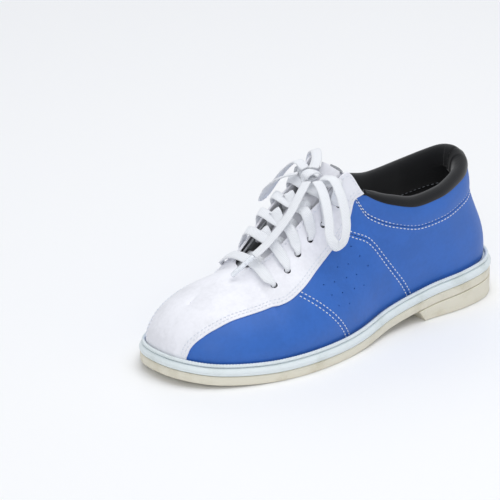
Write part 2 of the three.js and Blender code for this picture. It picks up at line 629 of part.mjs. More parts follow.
// swaps a stop to the other side of an eyelet along the lace's heading
function mirrorAlong({ point, normal }, heading, spot) {
  const forward = heading.clone().addScaledVector(normal, -heading.dot(normal)).normalize();
  const along = spot.clone().sub(point).dot(forward);
  return spot.clone().addScaledVector(forward, -2 * along);
}
const knotCentre = new THREE.Vector3(-10, 4, 114);
const knotRadii = new THREE.Vector3(6, 8, 3.6);
const ridgeNormal = new THREE.Vector3(-0.6, 0, 0.8);
const acrossOf = (normal, heading) => normal.clone().cross(heading).normalize();
function climb(sign) {
  const stops = [];
  for (let pair = 0; pair < eyeletPairs - 1; pair += 1) {
    const from = pair % 2 === 0 ? sign : -sign;
    stops.push(...crossing(from, pair, sign > 0));
  }
  const lastSign = (eyeletPairs - 1) % 2 === 0 ? sign : -sign;
  const top = place(lastSign, eyeletPairs - 1);
  const target = knotCentre.clone().add(new THREE.Vector3(0, lastSign * 5.5, -knotRadii.z - 1.3));
  const heading = target.clone().sub(top.point);
  const across = acrossOf(ridgeNormal, heading);
  stops.push(...eyeletStops(top, heading, true));
  stops.push({ point: nearCrest(top.side, -1, laceOver + 1.7), across, size: flat });
  stops.push({ point: target, across, size: flat });
  return stops;
}
function bar() {
  const outer = place(-1, 0);
  const inner = place(1, 0);
  const heading = inner.point.clone().sub(outer.point);
  const start = eyeletStops(outer, heading, true);
  const end = eyeletStops(inner, heading.clone().negate(), true).reverse();
  end.forEach((stop) => { stop.across = stop.across.clone().negate(); });
  const over = (side) => ({ point: nearCrest(side, 0, laceOver + 0.8), across: start[3].across, size: flat });
  return [...start, over(outer.side), over(inner.side), ...end];
}

// The free part of the lace: hand-laid routes of the bow's loops and tails, from the knot outwards
const routes = {
  lace_loop_lateral: [[-9, -5.4, 115], [-7, -14, 116], [-8, -23, 109], [-10, -30.5, 99], [-13, -36, 89],
    [-18, -39, 81], [-24, -39, 79], [-27, -36, 85], [-24, -31, 94], [-20, -23, 104], [-16.5, -14, 111],
    [-14.5, -6.8, 114]],
  lace_loop_medial: [[-8, 13.4, 116], [-8, 22, 119], [-9, 32, 112], [-13, 38.5, 102], [-20, 40, 94],
    [-27, 37, 93], [-27, 31, 102], [-22, 23, 110], [-14, 14.2, 114]],
  lace_tail_front: [[-17.3, 1, 112], [-26, -3, 107], [-38, -7, 97], [-50, -8.5, 87.5], [-60, -8, 79.5],
    [-69, -6, 73]],
  lace_tail_rear: [[-8, 5, 118.7], [-2, 9, 122.5], [4, 17, 125], [10, 28, 120], [14, 36, 108], [15, 39, 96]],
};
const outwards = (point) => new THREE.Vector3(-4, point.y - 4, point.z - 84).normalize();
function layCord(name, lift) {
  const curve = new THREE.CatmullRomCurve3(routes[name].map((at) => new THREE.Vector3(...at)));
  const steps = Math.round(curve.getLength() / (0.7 * laceWidth));
  const stops = Array.from({ length: steps + 1 }, (_, i) => {
    const point = curve.getPointAt(i / steps);
    return { point, across: acrossOf(lift(point), curve.getTangentAt(i / steps)), size: flat };
  });
  add(name, ribbon(stops), white);
  return { end: curve.getPointAt(1), heading: curve.getTangentAt(1) };
}
function buildFreeLace() {
  layCord("lace_loop_lateral", outwards);
  layCord("lace_loop_medial", outwards);
  const ends = {
    front: layCord("lace_tail_front", () => ridgeNormal),
    rear: layCord("lace_tail_rear", outwards),
  };
  for (const [name, { end, heading }] of Object.entries(ends)) {
    const point = end.clone().addScaledVector(heading, gap + aglet.length / 2);
    const tube = new THREE.CylinderGeometry(aglet.radius, aglet.radius, aglet.length, 8);
    add(`aglet_${name}`, onAxis(tube, { point, normal: heading }), white);
  }
  const knot = new THREE.SphereGeometry(1, 10, 8);
  add("lace_knot", bend(knot, (p) => p.clone().multiply(knotRadii).add(knotCentre)), white);
}
function buildLace() {
  const outerClimb = climb(-1);
  outerClimb.reverse();
  outerClimb.forEach((stop) => { stop.across = stop.across.clone().negate(); });
  const stops = [...outerClimb, ...bar(), ...climb(1)];
  add("lace", ribbon(stops), white);
}
buildSole();
buildPanels();
buildVamp();
buildStiffeners();
buildCollar();
buildTongue();
buildLace();
buildFreeLace();
export default group;
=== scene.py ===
"""A left bowling shoe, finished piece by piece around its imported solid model.

Lengths are worked out in millimetres and become metres when a piece's mesh is made.
+X runs to the heel, +Y to the inner side of the foot, +Z up.
"""

import math

import bmesh
import bpy
import numpy as np
from mathutils import Matrix, Vector


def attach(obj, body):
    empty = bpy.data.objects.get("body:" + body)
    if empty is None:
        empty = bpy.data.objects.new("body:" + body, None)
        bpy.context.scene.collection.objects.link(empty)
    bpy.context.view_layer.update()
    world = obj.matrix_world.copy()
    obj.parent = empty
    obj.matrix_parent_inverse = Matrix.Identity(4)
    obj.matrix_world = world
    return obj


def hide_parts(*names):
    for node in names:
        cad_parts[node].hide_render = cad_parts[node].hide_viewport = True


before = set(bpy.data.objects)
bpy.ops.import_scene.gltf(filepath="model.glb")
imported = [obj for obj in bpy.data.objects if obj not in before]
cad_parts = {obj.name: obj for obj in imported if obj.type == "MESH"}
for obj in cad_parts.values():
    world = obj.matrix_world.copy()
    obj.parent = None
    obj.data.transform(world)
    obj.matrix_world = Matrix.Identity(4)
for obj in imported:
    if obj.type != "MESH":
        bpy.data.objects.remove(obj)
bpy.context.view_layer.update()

bl_info = {
    "name": "Bowling Shoe",
    "version": (1, 0, 0),
    "blender": (4, 5, 0),
    "location": "View3D > Sidebar > Shoe",
    "description": "Builds the pieces of a left bowling shoe",
    "category": "Add Mesh",
}

MM = 0.001
GAP = 0.3
LAYER_GAP = 0.5
SOLE_LENGTH = 293.0
BALL_WIDTH = 110.0
HEEL_WIDTH = 68.5
OUTSOLE = 6.5
SIDEWALL = 5.3
HEEL_BREAST = 56.0
FEATHER_INSET = 6.5
BEAD_RADIUS = 1.2
PANEL = 1.4
VAMP_RISE = 0.9
LINING = 1.2
COLLAR_ROLL = 6.0
HEEL_ROLL = 9.0
BOARD = 2.0
LINER = 3.5
PAD_THICKNESS = 1.4
PAD_INSET = 10.0
TONGUE_SKIN = 1.1
EYELET_PAIRS = 6
EYELET_SETBACK = 14.0
EYELET_BORE = 2.2
EYELET_WALL = 0.5
HALF = SOLE_LENGTH / 2

COUNTER_OFFSET = -PANEL - LAYER_GAP
BACKING_OFFSET = COUNTER_OFFSET - GAP
LINING_OFFSET = COUNTER_OFFSET - LINING - LAYER_GAP
EYELET_FLANGE = BACKING_OFFSET - LINING - LAYER_GAP - GAP


# ---- curves and surfaces ----
def through(points, flat_ends=False):
    """A smooth curve through [at, value] points that never overshoots them."""
    at, value = np.array(points, float).T
    rise = np.diff(value) / np.diff(at)
    slope = np.zeros(len(at))
    agree = rise[:-1] * rise[1:] > 0
    slope[1:-1] = np.where(
        agree, 2 * rise[:-1] * rise[1:] / np.where(agree, rise[:-1] + rise[1:], 1), 0
    )
    if not flat_ends:
        slope[0], slope[-1] = rise[0], rise[-1]

    def curve(x):
        i = np.clip(np.searchsorted(at, x) - 1, 0, len(at) - 2)
        span = at[i + 1] - at[i]
        t = np.clip((x - at[i]) / span, 0, 1)
        s = 1 - t
        start = (1 + 2 * t) * s * s * value[i] + t * s * s * span * slope[i]
        return start + t * t * (3 - 2 * t) * value[i + 1] - t * t * s * span * slope[i + 1]

    return curve


def catmull_rom(points, samples, closed=False):
    """A centripetal curve through the points, with so many samples to each span."""
    points = np.asarray(points, float)
    count = len(points)
    if closed:
        around = [points[(i + k) % count] for i in range(count) for k in (-1, 0, 1, 2)]
    else:
        ends = [2 * points[0] - points[1], *points, 2 * points[-1] - points[-2]]
        around = [ends[i + k] for i in range(count - 1) for k in range(4)]
    spans = np.array(around).reshape(-1, 4, points.shape[1])
    t = (np.arange(samples) / samples)[:, None]
    line = []
    for p0, p1, p2, p3 in spans:
        d0, d1, d2 = (max(np.linalg.norm(b - a), 1e-6) ** 0.5 for a, b in ((p0, p1), (p1, p2), (p2, p3)))
        m1 = ((p1 - p0) / d0 - (p2 - p0) / (d0 + d1) + (p2 - p1) / d1) * d1
        m2 = ((p2 - p1) / d1 - (p3 - p1) / (d1 + d2) + (p3 - p2) / d2) * d1
        line.append(
            p1 + m1 * t + (3 * (p2 - p1) - 2 * m1 - m2) * t**2 + (2 * (p1 - p2) + m1 + m2) * t**3
        )
    line = np.concatenate(line)
    return line if closed else np.vstack([line, points[-1]])


def unit(vectors):
    return vectors / np.maximum(np.linalg.norm(vectors, axis=-1, keepdims=True), 1e-9)


def lerp(a, b, t):
    return a + (b - a) * t


def smoothstep(low, high, x):
    t = np.clip((x - low) / (high - low), 0, 1)
    return t * t * (3 - 2 * t)


# sole outline: share of half the length, share of half the local width, toe to heel
OUTER_EDGE = [
    (-1, 0.05), (-0.978, -0.3), (-0.89, -0.64), (-0.71, -0.91), (-0.48, -1.05), (-0.26, -1.04),
    (-0.03, -1.03), (0.2, -1.01), (0.45, -1.05), (0.69, -1.03), (0.87, -0.81), (0.966, -0.42), (1, 0),
]
INNER_EDGE = [
    (-0.976, 0.4), (-0.885, 0.7), (-0.717, 0.91), (-0.497, 0.95), (-0.276, 0.86), (-0.03, 0.78),
    (0.2, 0.78), (0.45, 0.93), (0.69, 1.01), (0.87, 0.81), (0.966, 0.42),
]
local_width = through([(-0.3, BALL_WIDTH), (0.42, HEEL_WIDTH)], flat_ends=True)
_outline = np.array(
    [(a * HALF, w * float(local_width(a)) / 2) for a, w in OUTER_EDGE + INNER_EDGE[::-1]]
)
_outline[:, 1] -= (_outline[:, 1].max() + _outline[:, 1].min()) / 2
_SAMPLES = 60
_walk = catmull_rom(_outline, _SAMPLES, closed=True)
_walk = np.vstack([_walk, _walk[:1]])
_length = np.concatenate([[0], np.cumsum(np.linalg.norm(np.diff(_walk, axis=0), axis=1))])
_share = _length / _length[-1]
_ahead = unit(np.vstack([_walk[1:2] - _walk[-2:-1], _walk[2:] - _walk[:-2], _walk[1:2] - _walk[-2:-1]]))
HEEL_POLE = _share[(len(OUTER_EDGE) - 1) * _SAMPLES]


def turned(side):
    return (np.asarray(side, float) + 3) % 2 - 1


def edge_point(side, inset):
    """A place on the sole's outline and the way out of it. side: -1 heel, 0 toe, 1 heel again."""
    at = turned(side)
    share = np.where(at < 0, -at * HEEL_POLE, 1 - at * (1 - HEEL_POLE)) % 1
    point = np.stack([np.interp(share, _share, _walk[:, k]) for k in (0, 1)], -1)
    ahead = unit(np.stack([np.interp(share, _share, _ahead[:, k]) for k in (0, 1)], -1))
    outward = np.stack([ahead[..., 1], -ahead[..., 0]], -1)
    return point - outward * np.asarray(inset, float)[..., None], outward


tread = through([
    (-1, 5.5), (-0.83, 2.2), (-0.66, 0.6), (-0.54, 0), (-0.14, 0), (0.02, 1.4), (0.18, 4.2),
    (0.36, 8), (0.55, 11.4), (0.76, 13.2), (1, 14),
])


def tread_z(x):
    return tread(x / HALF)


def sidewall_base(x):
    return tread_z(x) + OUTSOLE + GAP


def feather_z(x):
    return sidewall_base(x) + SIDEWALL


crest_x = through([
    (0, -114), (0.1, -107), (0.2, -92), (0.3, -72), (0.4, -49.5), (0.5, -27), (0.57, -8), (0.61, 5),
    (0.65, 18), (0.7, 37), (0.75, 58), (0.8, 79), (0.85, 97), (0.9, 110.5), (0.95, 118.5), (1, 121.5),
], flat_ends=True)
crest_z = through([
    (0, 46), (0.1, 50.5), (0.2, 56.5), (0.3, 61), (0.35, 67), (0.4, 74.5), (0.5, 93), (0.57, 106.5),
    (0.61, 118.5), (0.65, 100.6), (0.7, 90.6), (0.75, 85.8), (0.8, 87.6), (0.85, 91), (0.9, 94),
    (0.95, 96.5), (1, 98),
], flat_ends=True)
crest_half = through([
    (0, 0), (0.3, 0), (0.315, 7), (0.34, 11.5), (0.45, 15), (0.57, 16), (0.61, 18.5), (0.65, 22),
    (0.7, 27), (0.75, 29), (0.8, 28), (0.85, 23.5), (0.9, 17), (0.95, 9), (1, 0),
])
crest_middle = through([(0, 4), (0.3, 7), (0.6, 4), (0.8, -1), (1, -1)])
inner_lift = through([
    (0, 0), (0.32, 0), (0.45, 3), (0.6, 2), (0.7, 3), (0.8, 4.5), (0.9, 5.5), (0.95, 3.5), (1, 0),
])
wall_bulge = through([(0, 3), (0.2, 6), (0.4, 6), (0.6, 3), (0.8, 2), (1, 4)])
crest_lean = through([(0, 0), (0.3, 0.12), (0.45, 0.5), (0.62, 0.95), (0.7, 1), (1, 1)])
THROAT = 0.3


def crest(side):
    at = turned(side)
    share, sign = np.abs(at), np.where(at < 0, -1.0, 1.0)
    lift = np.where(sign > 0, inner_lift(share), 0)
    return np.stack(
        [crest_x(share), crest_middle(share) + sign * crest_half(share), crest_z(share) + lift], -1
    )


def upper(side, rise):
    """The outer face of the upper: rise 0 is its foot, rise 1 its top edge."""
    side, rise = np.broadcast_arrays(np.asarray(side, float), np.asarray(rise, float))
    share = np.abs(turned(side))
    foot, outward = edge_point(side, np.full(side.shape, FEATHER_INSET))
    foot = np.concatenate([foot, (feather_z(foot[..., 0]) + GAP)[..., None]], -1)
    outward = np.concatenate([outward, np.zeros(side.shape + (1,))], -1)
    top = crest(side)
    height = (top[..., 2] - foot[..., 2])[..., None]
    flat = (foot - top) * np.array([1, 1, 0])
    lean = (crest_lean(share) * math.pi / 2)[..., None]
    up = np.array([0, 0, 1.0])
    low = foot + up * height * 0.42 + outward * wall_bulge(share)[..., None]
    high = top + flat * 0.5 * np.cos(lean) - up * 0.42 * height * np.sin(lean)
    t = rise[..., None]
    s = 1 - t
    return foot * s**3 + low * 3 * s * s * t + high * 3 * s * t * t + top * t**3


def upper_normal(side, rise):
    at = np.minimum(rise, 0.97)
    along = upper(side + 0.004, at) - upper(side - 0.004, at)
    climb = upper(side, at + 0.01) - upper(side, at - 0.01)
    return unit(np.cross(climb, along))


def upper_length(side):
    spots = [upper(side, np.full(np.shape(side), i / 8)) for i in range(9)]
    return sum(np.linalg.norm(b - a, axis=-1) for a, b in zip(spots, spots[1:]))


def on_upper(side, rise, offset):
    side, rise = np.broadcast_arrays(np.asarray(side, float), np.asarray(rise, float))
    normal = upper_normal(side, rise)
    mirror = upper_normal(-side, rise)
    ridge = (np.abs(turned(side)) < THROAT) * smoothstep(0.8, 1, rise) * 0.5
    normal = unit(normal * (1 - ridge)[..., None] + mirror * ridge[..., None])
    return upper(side, rise) + normal * np.broadcast_to(offset, side.shape)[..., None]


def near_crest(side, down, offset):
    """A point so far below the top edge, or above it where down is negative."""
    side, down = np.broadcast_arrays(np.asarray(side, float), np.asarray(down, float))
    below = on_upper(side, 1 - np.maximum(down, 0) / upper_length(side), offset)
    climb = unit(upper(side, np.ones(side.shape)) - upper(side, np.full(side.shape, 0.97)))
    return below + climb * np.maximum(-down, 0)[..., None]


VAMP_FRONT = 0.076
vamp_edge = through([
    (VAMP_FRONT, 0.08), (0.087, 0.24), (0.107, 0.35), (0.14, 0.44), (0.2, 0.51), (0.28, 0.53), (0.34, 0.54),
    (0.38, 0.57), (0.45, 0.63), (0.54, 0.67), (0.59, 0.71), (0.62, 0.84), (0.65, 1.02),
])
BAND_HEIGHT = 15.0
FOOT_RISE = 0.004


def front_seam(high):
    return lerp(0.472, 0.372, high)


def rear_seam(high):
    return lerp(0.675, 0.575, high)


def band_front(high):
    return lerp(0.6, 0.653, high)


def collar_seam(side):
    return 1 - BAND_HEIGHT / upper_length(side)


def blue_top(side):
    share = np.abs(turned(side))
    vamp = np.where(share < 0.645, vamp_edge(share), 1)
    return np.minimum(vamp, np.where(share > 0.56, collar_seam(side), 1))


# ---- meshes ----
def grid(columns, rows, place, uv=None):
    """A grid whose points place(along, across) puts in millimetres."""
    bm = bmesh.new()
    bmesh.ops.create_grid(bm, x_segments=columns, y_segments=rows, size=0.5)
    spots = np.array([v.co[:] for v in bm.verts]) + 0.5
    along, across = np.clip(spots[:, 0], 0, 1), np.clip(spots[:, 1], 0, 1)
    for vert, spot in zip(bm.verts, place(along, across) * MM):
        vert.co = spot
    if uv is not None:
        layer = bm.loops.layers.uv.new("UVMap")
        flat = uv(along, across) * MM
        bm.verts.index_update()
        for face in bm.faces:
            for loop in face.loops:
                loop[layer].uv = flat[loop.vert.index]
    return bm


def face_out(bm, centre=(None, 0.0, 0.04)):
    """Turns an open sheet's faces away from the middle of the shoe."""
    bm.normal_update()
    vote = 0.0
    for face in bm.faces:
        middle = face.calc_center_median()
        inner = Vector((middle.x if centre[0] is None else centre[0], centre[1], centre[2]))
        vote += face.calc_area() * face.normal.dot((middle - inner).normalized())
    if vote < 0:
        bmesh.ops.reverse_faces(bm, faces=bm.faces)


def close_tube(bm):
    """Merges a tube's seam and poles, fills its ends and points its faces outwards."""
    bmesh.ops.remove_doubles(bm, verts=bm.verts, dist=0.01 * MM)
    rims = [edge for edge in bm.edges if edge.is_boundary]
    if rims:
        bmesh.ops.holes_fill(bm, edges=rims, sides=0)
    bmesh.ops.recalc_face_normals(bm, faces=bm.faces)


def mark_sharp(bm, angle=math.radians(38)):
    for edge in bm.edges:
        edge.smooth = not (len(edge.link_faces) == 2 and edge.calc_face_angle(0.0) > angle)


def to_object(name, bm, material, body="shoe", replaces=(), sharp=True):
    if sharp:
        mark_sharp(bm)
    mesh = bpy.data.meshes.new(name)
    bm.to_mesh(mesh)
    bm.free()
    mesh.polygons.foreach_set("use_smooth", [True] * len(mesh.polygons))
    piece = bpy.data.objects.new(name, mesh)
    bpy.context.scene.collection.objects.link(piece)
    mesh.materials.append(material)
    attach(piece, body)
    if replaces:
        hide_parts(*replaces)
    return piece


def thicken(piece, thickness, rounding, segments=2):
    solid = piece.modifiers.new("Thickness", "SOLIDIFY")
    solid.thickness = thickness * MM
    solid.offset = -1
    edge = piece.modifiers.new("Edge", "BEVEL")
    edge.width = rounding * MM
    edge.segments = segments
    edge.limit_method = "ANGLE"
    edge.angle_limit = math.radians(50)
    edge.harden_normals = False


def bake_modifiers(piece):
    bpy.context.view_layer.update()
    result = piece.evaluated_get(bpy.context.evaluated_depsgraph_get())
    mesh = bpy.data.meshes.new_from_object(result)
    piece.modifiers.clear()
    bm = bmesh.new()
    bm.from_mesh(mesh)
    mark_sharp(bm)
    bm.to_mesh(mesh)
    bm.free()
    mesh.name = piece.name
    piece.data = mesh


def punch(piece, places, radius, depth, segments=14):
    """Cuts round holes through a thickened piece along the given axes."""
    bm = bmesh.new()
    for point, normal in places:
        turn = Vector((0, 0, 1)).rotation_difference(Vector(normal)).to_matrix().to_4x4()
        matrix = Matrix.Translation(Vector(point) * MM) @ turn
        bmesh.ops.create_cone(
            bm, cap_ends=True, segments=segments, radius1=radius * MM, radius2=radius * MM,
            depth=depth * MM, matrix=matrix,
        )
    mesh = bpy.data.meshes.new("punch")
    bm.to_mesh(mesh)
    bm.free()
    tool = bpy.data.objects.new("punch", mesh)
    bpy.context.scene.collection.objects.link(tool)
    cut = piece.modifiers.new("Holes", "BOOLEAN")
    cut.operation = "DIFFERENCE"
    cut.solver = "EXACT"
    cut.object = tool
    bake_modifiers(piece)
    bpy.data.objects.remove(tool)
    bpy.data.meshes.remove(mesh)


def upper_sheet(from_side, to_side, low, high, offset, columns, rows, warp=1.0):
    def place(u, v):
        side = lerp(from_side(v), to_side(v), u**warp)
        rise = lerp(low(side), high(side), v)
        return on_upper(side, rise, offset(side, rise) if callable(offset) else offset)

    bm = grid(columns, rows, place)
    face_out(bm)
    return bm


def fixed(value):
    return lambda t: np.full(np.shape(t), float(value))


def ring_body(section, columns, spine=(-96.0, 108.0)):
    """A body of the sole: section points [share of the way to the spine, inset, height(x)]."""
    shares, insets, heights = zip(*section)
    last = len(section) - 1

    def place(u, v):
        side = 2 * u - 1
        ring = np.rint(v * last).astype(int)
        edge, _ = edge_point(side, np.array(insets)[ring])
        middle_x = np.clip(edge[:, 0], *spine)
        outer, _ = edge_point(np.interp(middle_x, SPINE_X, SPINE_OUTER), np.zeros(len(side)))
        inner, _ = edge_point(np.interp(middle_x, SPINE_X, SPINE_INNER), np.zeros(len(side)))
        middle = np.stack([middle_x, (outer[:, 1] + inner[:, 1]) / 2], -1)
        flat = lerp(edge, middle, np.array(shares)[ring][:, None])
        z = np.zeros(len(side))
        for k, height in enumerate(heights):
            chosen = ring == k
            z[chosen] = height(flat[chosen, 0])
        return np.concatenate([flat, z[:, None]], -1)

    bm = grid(columns, last, place)
    close_tube(bm)
    return bm


_sides = np.linspace(0, 1, 400)
SPINE_X = np.linspace(-130, 130, 100)
SPINE_OUTER = np.interp(SPINE_X, edge_point(-_sides, np.zeros(400))[0][:, 0], -_sides)
SPINE_INNER = np.interp(SPINE_X, edge_point(_sides, np.zeros(400))[0][:, 0], _sides)


def resample(points, across, sizes, step=0.9):
    """Points, flat directions and [width, thickness] at an even pitch along a smooth line."""
    line = catmull_rom(points, 12)
    along = np.concatenate([[0], np.cumsum(np.linalg.norm(np.diff(line, axis=0), axis=1))])
    knots = along[::12]
    count = max(int(round(along[-1] / step)), 8)
    at = np.linspace(0, along[-1], count + 1)
    path = np.stack([np.interp(at, along, line[:, k]) for k in range(3)], -1)
    side = unit(np.stack([np.interp(at, knots, np.asarray(across)[:, k]) for k in range(3)], -1))
    size = np.stack([np.interp(at, knots, np.asarray(sizes)[:, k]) for k in range(2)], -1)
    return path, side, size


def ribbon(points, across, sizes, closed=False, around=14):
    """A flat woven lace along the points; its UV map is in metres along and round it."""
    across = [np.asarray(a, float) for a in across]
    for i in range(1, len(across)):
        if np.dot(across[i], across[i - 1]) < 0:
            across[i] = -across[i]
    path, side, size = resample(points, across, sizes)
    ahead = unit(np.gradient(path, axis=0))
    side = unit(side - ahead * np.sum(side * ahead, -1, keepdims=True))
    lift = np.cross(ahead, side)
    run = np.concatenate([[0], np.cumsum(np.linalg.norm(np.diff(path, axis=0), axis=1))])
    last = len(path) - 1

    def place(u, v):
        ring = np.rint(u * last).astype(int)
        turn = 2 * math.pi * v
        wide = np.sign(np.cos(turn)) * np.abs(np.cos(turn)) ** 0.75 / 2
        thick = np.sign(np.sin(turn)) * np.abs(np.sin(turn)) ** 0.75 / 2
        return (path[ring] + side[ring] * (wide * size[ring, 0])[:, None]
                + lift[ring] * (thick * size[ring, 1])[:, None])

    def uv(u, v):
        ring = np.rint(u * last).astype(int)
        return np.stack([run[ring], v * 2 * lace_width()], -1)

    bm = grid(last, around, place, uv)
    close_tube(bm)
    return bm, path


# ---- shader maths ----
class Wire:
    """A shader value; sums and products of wires and numbers add their Math nodes."""

    def __init__(self, tree, socket):
        self.tree = tree
        self.socket = socket

    def node(self, kind, output=0, inputs=(), **settings):
        made = self.tree.nodes.new(kind)
        for name, value in settings.items():
            setattr(made, name, value)
        for key, value in dict(inputs).items():
            if isinstance(value, Wire):
                self.tree.links.new(value.socket, made.inputs[key])
            else:
                made.inputs[key].default_value = value
        return Wire(self.tree, made.outputs[output])

    def maths(self, operation, *values):
        return self.node("ShaderNodeMath", inputs=dict(enumerate(values)), operation=operation)

    def __add__(self, other):
        return self.maths("ADD", self, other)

    def __radd__(self, other):
        return self.maths("ADD", other, self)

    def __sub__(self, other):
        return self.maths("SUBTRACT", self, other)

    def __rsub__(self, other):
        return self.maths("SUBTRACT", other, self)

    def __mul__(self, other):
        return self.maths("MULTIPLY", self, other)

    def __rmul__(self, other):
        return self.maths("MULTIPLY", other, self)

    def __truediv__(self, other):
        return self.maths("DIVIDE", self, other)

    def clamp(self):
        return self.node("ShaderNodeClamp", inputs={0: self})

    def ramp(self, low, high):
        """0 below low, 1 above high, smooth between."""
        return self.node(
            "ShaderNodeMapRange", inputs={0: self, 1: low, 2: high}, interpolation_type="SMOOTHSTEP"
        )

    def blend(self, a, b):
        """Colour a where this is 0, colour b where it is 1."""
        return self.node("ShaderNodeMix", output=2, inputs={0: self, 6: a, 7: b}, data_type="RGBA")


class Finish:
    """A material under way: its coordinates, and the shader that it ends in."""

    def __init__(self, name, **sockets):
        self.material = bpy.data.materials.new(name)
        self.material.use_nodes = True
        self.tree = self.material.node_tree
        self.shader = self.tree.nodes["Principled BSDF"]
        self.wire = Wire(self.tree, None)
        for socket, value in sockets.items():
            self.shader.inputs[socket.replace("_", " ")].default_value = value

    def place(self, output="Object", scale=(1000, 1000, 1000), turn=(0, 0, 0)):
        """Coordinates in millimetres."""
        source = self.wire.node("ShaderNodeTexCoord", output=output)
        return self.wire.node(
            "ShaderNodeMapping", inputs={"Vector": source, "Scale": scale, "Rotation": turn}
        )

    def noise(self, place, scale, detail=3.0, roughness=0.5):
        return self.wire.node(
            "ShaderNodeTexNoise",
            inputs={"Vector": place, "Scale": scale, "Detail": detail, "Roughness": roughness},
        )

    def cells(self, place, scale, feature="F1", randomness=1.0):
        return self.wire.node(
            "ShaderNodeTexVoronoi", inputs={"Vector": place, "Scale": scale, "Randomness": randomness},
            feature=feature,
        )

    def axis(self, place, which):
        return self.wire.node("ShaderNodeSeparateXYZ", output=which, inputs={0: place})

    def set(self, socket, value):
        self.tree.links.new(value.socket, self.shader.inputs[socket])

    def bump(self, height, distance):
        """distance is the height in millimetres that a value of 1 stands for."""
        self.set("Normal", self.wire.node(
            "ShaderNodeBump", inputs={"Height": height, "Distance": distance * MM, "Strength": 1.0}
        ))


def shade(colour, factor):
    return tuple(min(c * factor, 1.0) for c in colour[:3]) + (1.0,)


def linear(red, green, blue):
    return tuple(
        (c / 255 / 12.92) if c <= 10 else ((c / 255 + 0.055) / 1.055) ** 2.4 for c in (red, green, blue)
    ) + (1.0,)


def leather(name, colour, grain, depth, roughness):
    """Coated leather: a pebbled grain, soft creases and a little unevenness of colour."""
    f = Finish(name, Roughness=roughness, Specular_IOR_Level=0.45, Coat_Roughness=0.35)
    place = f.place()
    warp = f.noise(place, 0.35, 2.0)
    pebble = f.cells(place, grain, "SMOOTH_F1")
    pores = f.noise(place, grain * 2.4, 2.0)
    creases = f.noise(f.place(turn=(0.3, 0.2, 0.5)), 0.06, 3.0, 0.6)
    uneven = f.noise(place, 0.045, 3.0)
    tone = (uneven * 0.7 + warp * 0.3).ramp(0.35, 0.65)
    f.set("Base Color", tone.blend(shade(colour, 0.94), shade(colour, 1.05)))
    f.set("Roughness", roughness - 0.05 + uneven * 0.1 + pores * 0.05)
    f.bump(pebble * -0.55 + pores * 0.2 + creases * 2.6, depth)
    return f.material


def rubber(name, colour, grime, roughness):
    """Moulded rubber: a fine mould texture and slight soiling."""
    f = Finish(name, Roughness=roughness)
    place = f.place()
    speck = f.noise(place, 1.6, 4.0, 0.6)
    cloud = f.noise(place, 0.05, 3.0)
    soil = (cloud * 0.75 + speck * 0.25).ramp(0.48, 0.75)
    f.set("Base Color", soil.blend(colour, grime))
    f.set("Roughness", roughness - 0.06 + speck * 0.14)
    f.bump(speck * 0.5 + cloud * 2, 0.05)
    return f.material


def textile(name, colour, pitch, depth, roughness=0.9, sheen=0.3):
    """A woven lining: two sets of threads crossing over the surface."""
    f = Finish(name, Roughness=roughness, Sheen_Weight=sheen, Sheen_Roughness=0.5, Specular_IOR_Level=0.2)
    place = f.place(turn=(0.4, 0.35, 0.5))
    one = f.wire.node("ShaderNodeTexWave", inputs={"Vector": place, "Scale": pitch, "Distortion": 0.4},
                      bands_direction="X")
    other = f.wire.node("ShaderNodeTexWave", inputs={"Vector": place, "Scale": pitch, "Distortion": 0.4},
                        bands_direction="Y")
    third = f.wire.node("ShaderNodeTexWave", inputs={"Vector": place, "Scale": pitch, "Distortion": 0.4},
                        bands_direction="Z")
    fuzz = f.noise(place, 2.0, 4.0, 0.7)
    cloud = f.noise(place, 0.06, 2.0)
    weave = (one + other + third) * 0.33
    tone = (weave * 0.5 + fuzz * 0.3 + cloud * 0.2).ramp(0.25, 0.75)
    f.set("Base Color", tone.blend(shade(colour, 0.75), shade(colour, 1.2)))
    f.set("Roughness", roughness - 0.05 + fuzz * 0.1)
    f.bump(weave + fuzz * 0.6, depth)
    return f.material


def woven_lace(name, colour):
    """Flat braided cotton: slanting yarns that meet in a herringbone along the middle."""
    f = Finish(name, Roughness=0.85, Sheen_Weight=0.25, Sheen_Roughness=0.4, Specular_IOR_Level=0.25)
    place = f.place("UV")
    along, round_it = f.axis(place, 0), f.axis(place, 1)
    zigzag = f.wire.maths("PINGPONG", round_it, 1.25)
    yarn = f.wire.maths("SINE", (along + zigzag * 0.9) * 6.2)
    strand = f.wire.maths("SINE", round_it * 5.03)
    fuzz = f.noise(place, 3.0, 3.0)
    cloud = f.noise(f.place(), 0.08, 2.0)
    weave = yarn * 0.5 + 0.5
    tone = (weave * 0.5 + fuzz * 0.3 + cloud * 0.2).ramp(0.2, 0.7)
    f.set("Base Color", tone.blend(shade(colour, 0.86), colour))
    f.set("Roughness", 0.8 + fuzz * 0.15)
    f.bump(weave * 0.7 + strand * 0.25 + fuzz * 0.3, 0.12)
    return f.material


def plain(name, colour, roughness, speckle=1.0, metallic=0.0, depth=0.03, **sockets):
    """Thread, metal, board or foam: one colour with a fine grain."""
    f = Finish(name, Roughness=roughness, Metallic=metallic, **sockets)
    place = f.place()
    grain = f.noise(place, speckle, 4.0, 0.6)
    tone = grain.ramp(0.3, 0.7)
    f.set("Base Color", tone.blend(shade(colour, 0.88), shade(colour, 1.06)))
    f.set("Roughness", roughness - 0.06 + grain * 0.12)
    f.bump(grain, depth)
    return f.material


